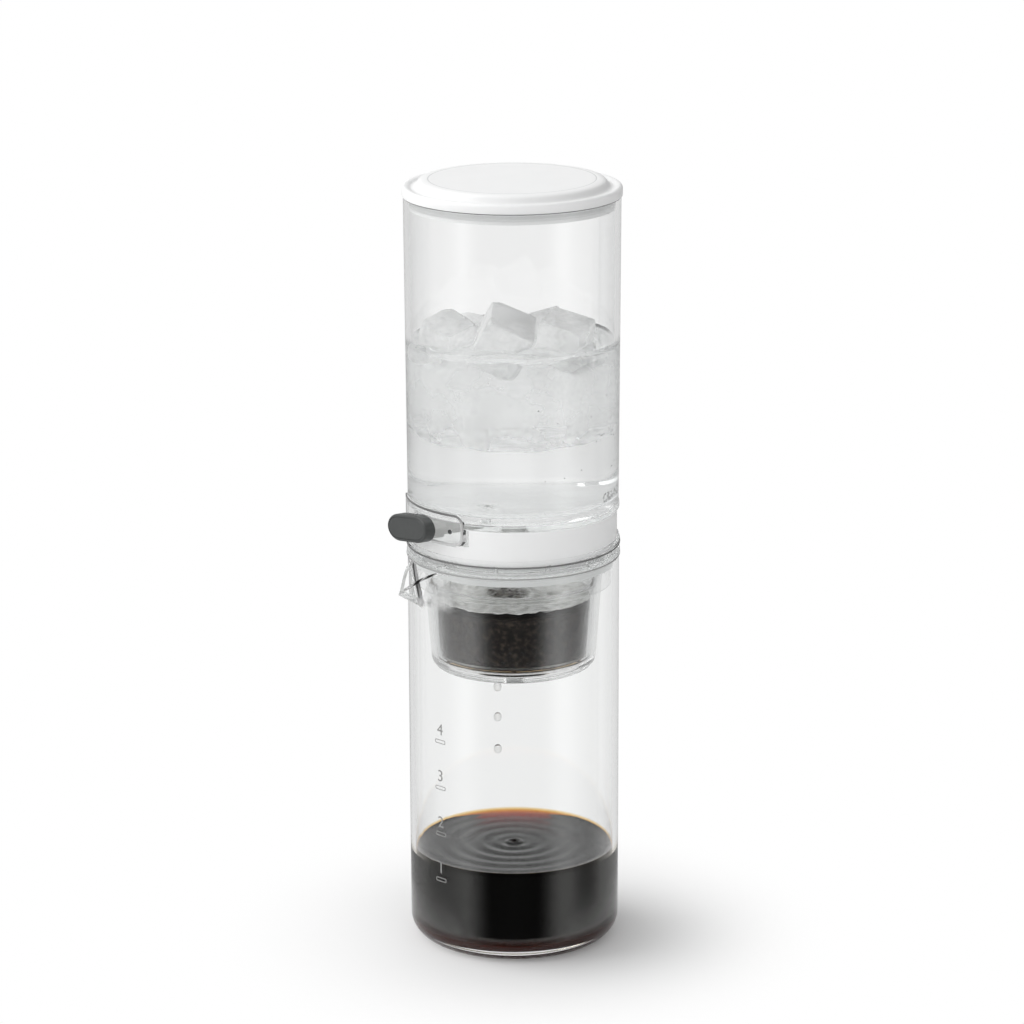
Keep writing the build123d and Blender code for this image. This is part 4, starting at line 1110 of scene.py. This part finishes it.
@dataclass
class FillScale:
    """Numbers and marks printed on the carafe."""

    radius: float = 43.0
    turn: float = 196.0
    first: float = 32.9
    pitch: float = 19.75
    count: int = 4
    digit_rise: float = 5.2
    digit_height: float = 5.0
    digit_share: float = 0.73
    ink_height: float = 0.05
    clear_of_wall: float = 0.01
    mark_width: float = 5.7
    mark_height: float = 1.7
    mark_corner: float = 0.6
    stroke: float = 0.3
    finish: Grained = Grained("scale_print_finish", 2500, 3, (
        (0.3, (0.272, 0.272, 0.26775)), (0.7, (0.32, 0.32, 0.315))), 0.6, 1.5)

    def wrap(self, across: float, up: float, out: float) -> Vector:
        """Point on the carafe's wall from a place on the flat print and its height over the wall."""
        return polar(self.radius + out, math.radians(self.turn) + across / self.radius, up)

    def build(self) -> None:
        """Prints the numbers, and one mark that Geometry Nodes repeat up the wall."""
        ink = self.finish.make()
        for index in range(self.count):
            text = bpy.data.curves.new(f"digit_{index + 1}", "FONT")
            text.body = str(index + 1)
            text.size = self.digit_height / self.digit_share
            text.align_x = "CENTER"
            text.resolution_u = 8
            text.extrude = self.ink_height / 2
            holder = shown("digit_holder", text)
            data = bpy.data.meshes.new_from_object(holder)
            bpy.data.objects.remove(holder)
            mesh = bmesh.new()
            mesh.from_mesh(data)
            bpy.data.meshes.remove(data)
            bmesh.ops.remove_doubles(mesh, verts=mesh.verts, dist=1e-4)
            heights = [vertex.co.y for vertex in mesh.verts]
            rise = self.first + self.pitch * index + self.digit_rise - (min(heights) + max(heights)) / 2
            out = self.ink_height / 2 + self.clear_of_wall
            for vertex in mesh.verts:
                vertex.co = self.wrap(vertex.co.x, vertex.co.y + rise, vertex.co.z + out)
            lay(f"scale_digit_{index + 1}", mesh, ink, Body.CARAFE, smooth=False)
        outer, inner = (rounded(
            self.mark_width / 2 - inset, self.mark_height / 2 - inset,
            min(self.mark_height / 2 - inset, self.mark_corner - inset / 2), 4) for inset in (0.0, self.stroke))
        low, high = self.clear_of_wall, self.clear_of_wall + self.ink_height
        mesh = skinned([[self.wrap(across, self.first + up, out) for across, up, angle in outline]
                        for outline, out in ((outer, low), (outer, high), (inner, high), (inner, low))], True)
        holder = shown("scale_mark", stored("scale_mark", mesh))
        tree = Repeat("scale_marks_tree", holder, ink, {"Count": self.count, "Pitch": self.pitch * MM})
        lay("scale_marks", tree.up(), ink, Body.CARAFE, smooth=False)


class Repeat(Nodes):
    """Geometry Nodes tree that repeats a piece."""

    def __init__(self, name: str, holder: Object, finish: Material, sizes: dict[str, int | float]) -> None:
        """Starts the tree.

        Args:
            name: Name of the tree.
            holder: Object that it works on, which is removed at the end.
            finish: Material of the result.
            sizes: Inputs of the tree by name, lengths in metres.
        """
        super().__init__(bpy.data.node_groups.new(name, "GeometryNodeTree"))
        self.finish = finish
        self.holder = holder
        self.modifier = holder.modifiers.new(name, "NODES")
        sockets = self.tree.interface
        for way in ("INPUT", "OUTPUT"):
            sockets.new_socket("Geometry", in_out=way, socket_type="NodeSocketGeometry")
        self.values = {}
        for size, value in sizes.items():
            kind = "NodeSocketInt" if isinstance(value, int) else "NodeSocketFloat"
            self.values[sockets.new_socket(size, in_out="INPUT", socket_type=kind).identifier] = value
        self.given = self.add("NodeGroupInput").outputs

    def run(self, copies: bpy.types.Node) -> Data:
        """Ends the tree and turns what it makes into a plain mesh.

        Args:
            copies: Node that makes the instances.

        Returns:
            The mesh, in metres.
        """
        real = self.add("GeometryNodeRealizeInstances", {"Geometry": copies.outputs[0]})
        painted = self.add("GeometryNodeSetMaterial", {"Geometry": real.outputs[0], "Material": self.finish})
        self.add("NodeGroupOutput", {0: painted.outputs[0]})
        self.modifier.node_group = self.tree
        for key, value in self.values.items():
            self.modifier[key] = value
        bpy.context.view_layer.update()
        made = bpy.data.meshes.new_from_object(self.holder.evaluated_get(bpy.context.evaluated_depsgraph_get()))
        bpy.data.objects.remove(self.holder)
        return made

    def up(self) -> Data:
        """Repeats a mesh upwards by a Count and a Pitch.

        Returns:
            The row, in metres.
        """
        rise = self.get("CombineXYZ", {"Z": self.given["Pitch"]})
        line = self.add("GeometryNodeMeshLine", {"Count": self.given["Count"], "Offset": rise})
        return self.run(self.add("GeometryNodeInstanceOnPoints", {
            "Points": line.outputs[0], "Instance": self.given["Geometry"]}))

    def over(self) -> Data:
        """Scatters balls over a surface by a Density on a square metre, a middle Size and a Seed.

        Returns:
            The balls, in metres.
        """
        spots = self.add("GeometryNodeDistributePointsOnFaces", {
            "Mesh": self.given["Geometry"], "Density": self.given["Density"], "Seed": self.given["Seed"]})
        ball = self.add("GeometryNodeMeshIcoSphere", {"Radius": self.given["Size"], "Subdivisions": 3})
        scale = self.add("FunctionNodeRandomValue", {2: 0.45, 3: 1.3, "Seed": self.given["Seed"]}, data_type="FLOAT")
        return self.run(self.add("GeometryNodeInstanceOnPoints", {
            "Points": spots.outputs["Points"], "Instance": ball.outputs[0], "Scale": scale.outputs[1]}))


def main() -> None:
    """Builds the looks, from the room to the last drop."""
    logging.basicConfig(level=logging.INFO, format="%(name)s %(message)s")
    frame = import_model()
    studio = Studio()
    studio.build()
    Casework().dress(frame)
    TankWater().build()
    IceCubes(studio).build()
    CupContents().build()
    Drips(studio).build()
    BrewedCoffee().build()
    HousingEdge().build()
    PaintedShadeRings().build()
    Bubbles(studio).build()
    FillScale().build()


if __name__ == "__main__":
    main()
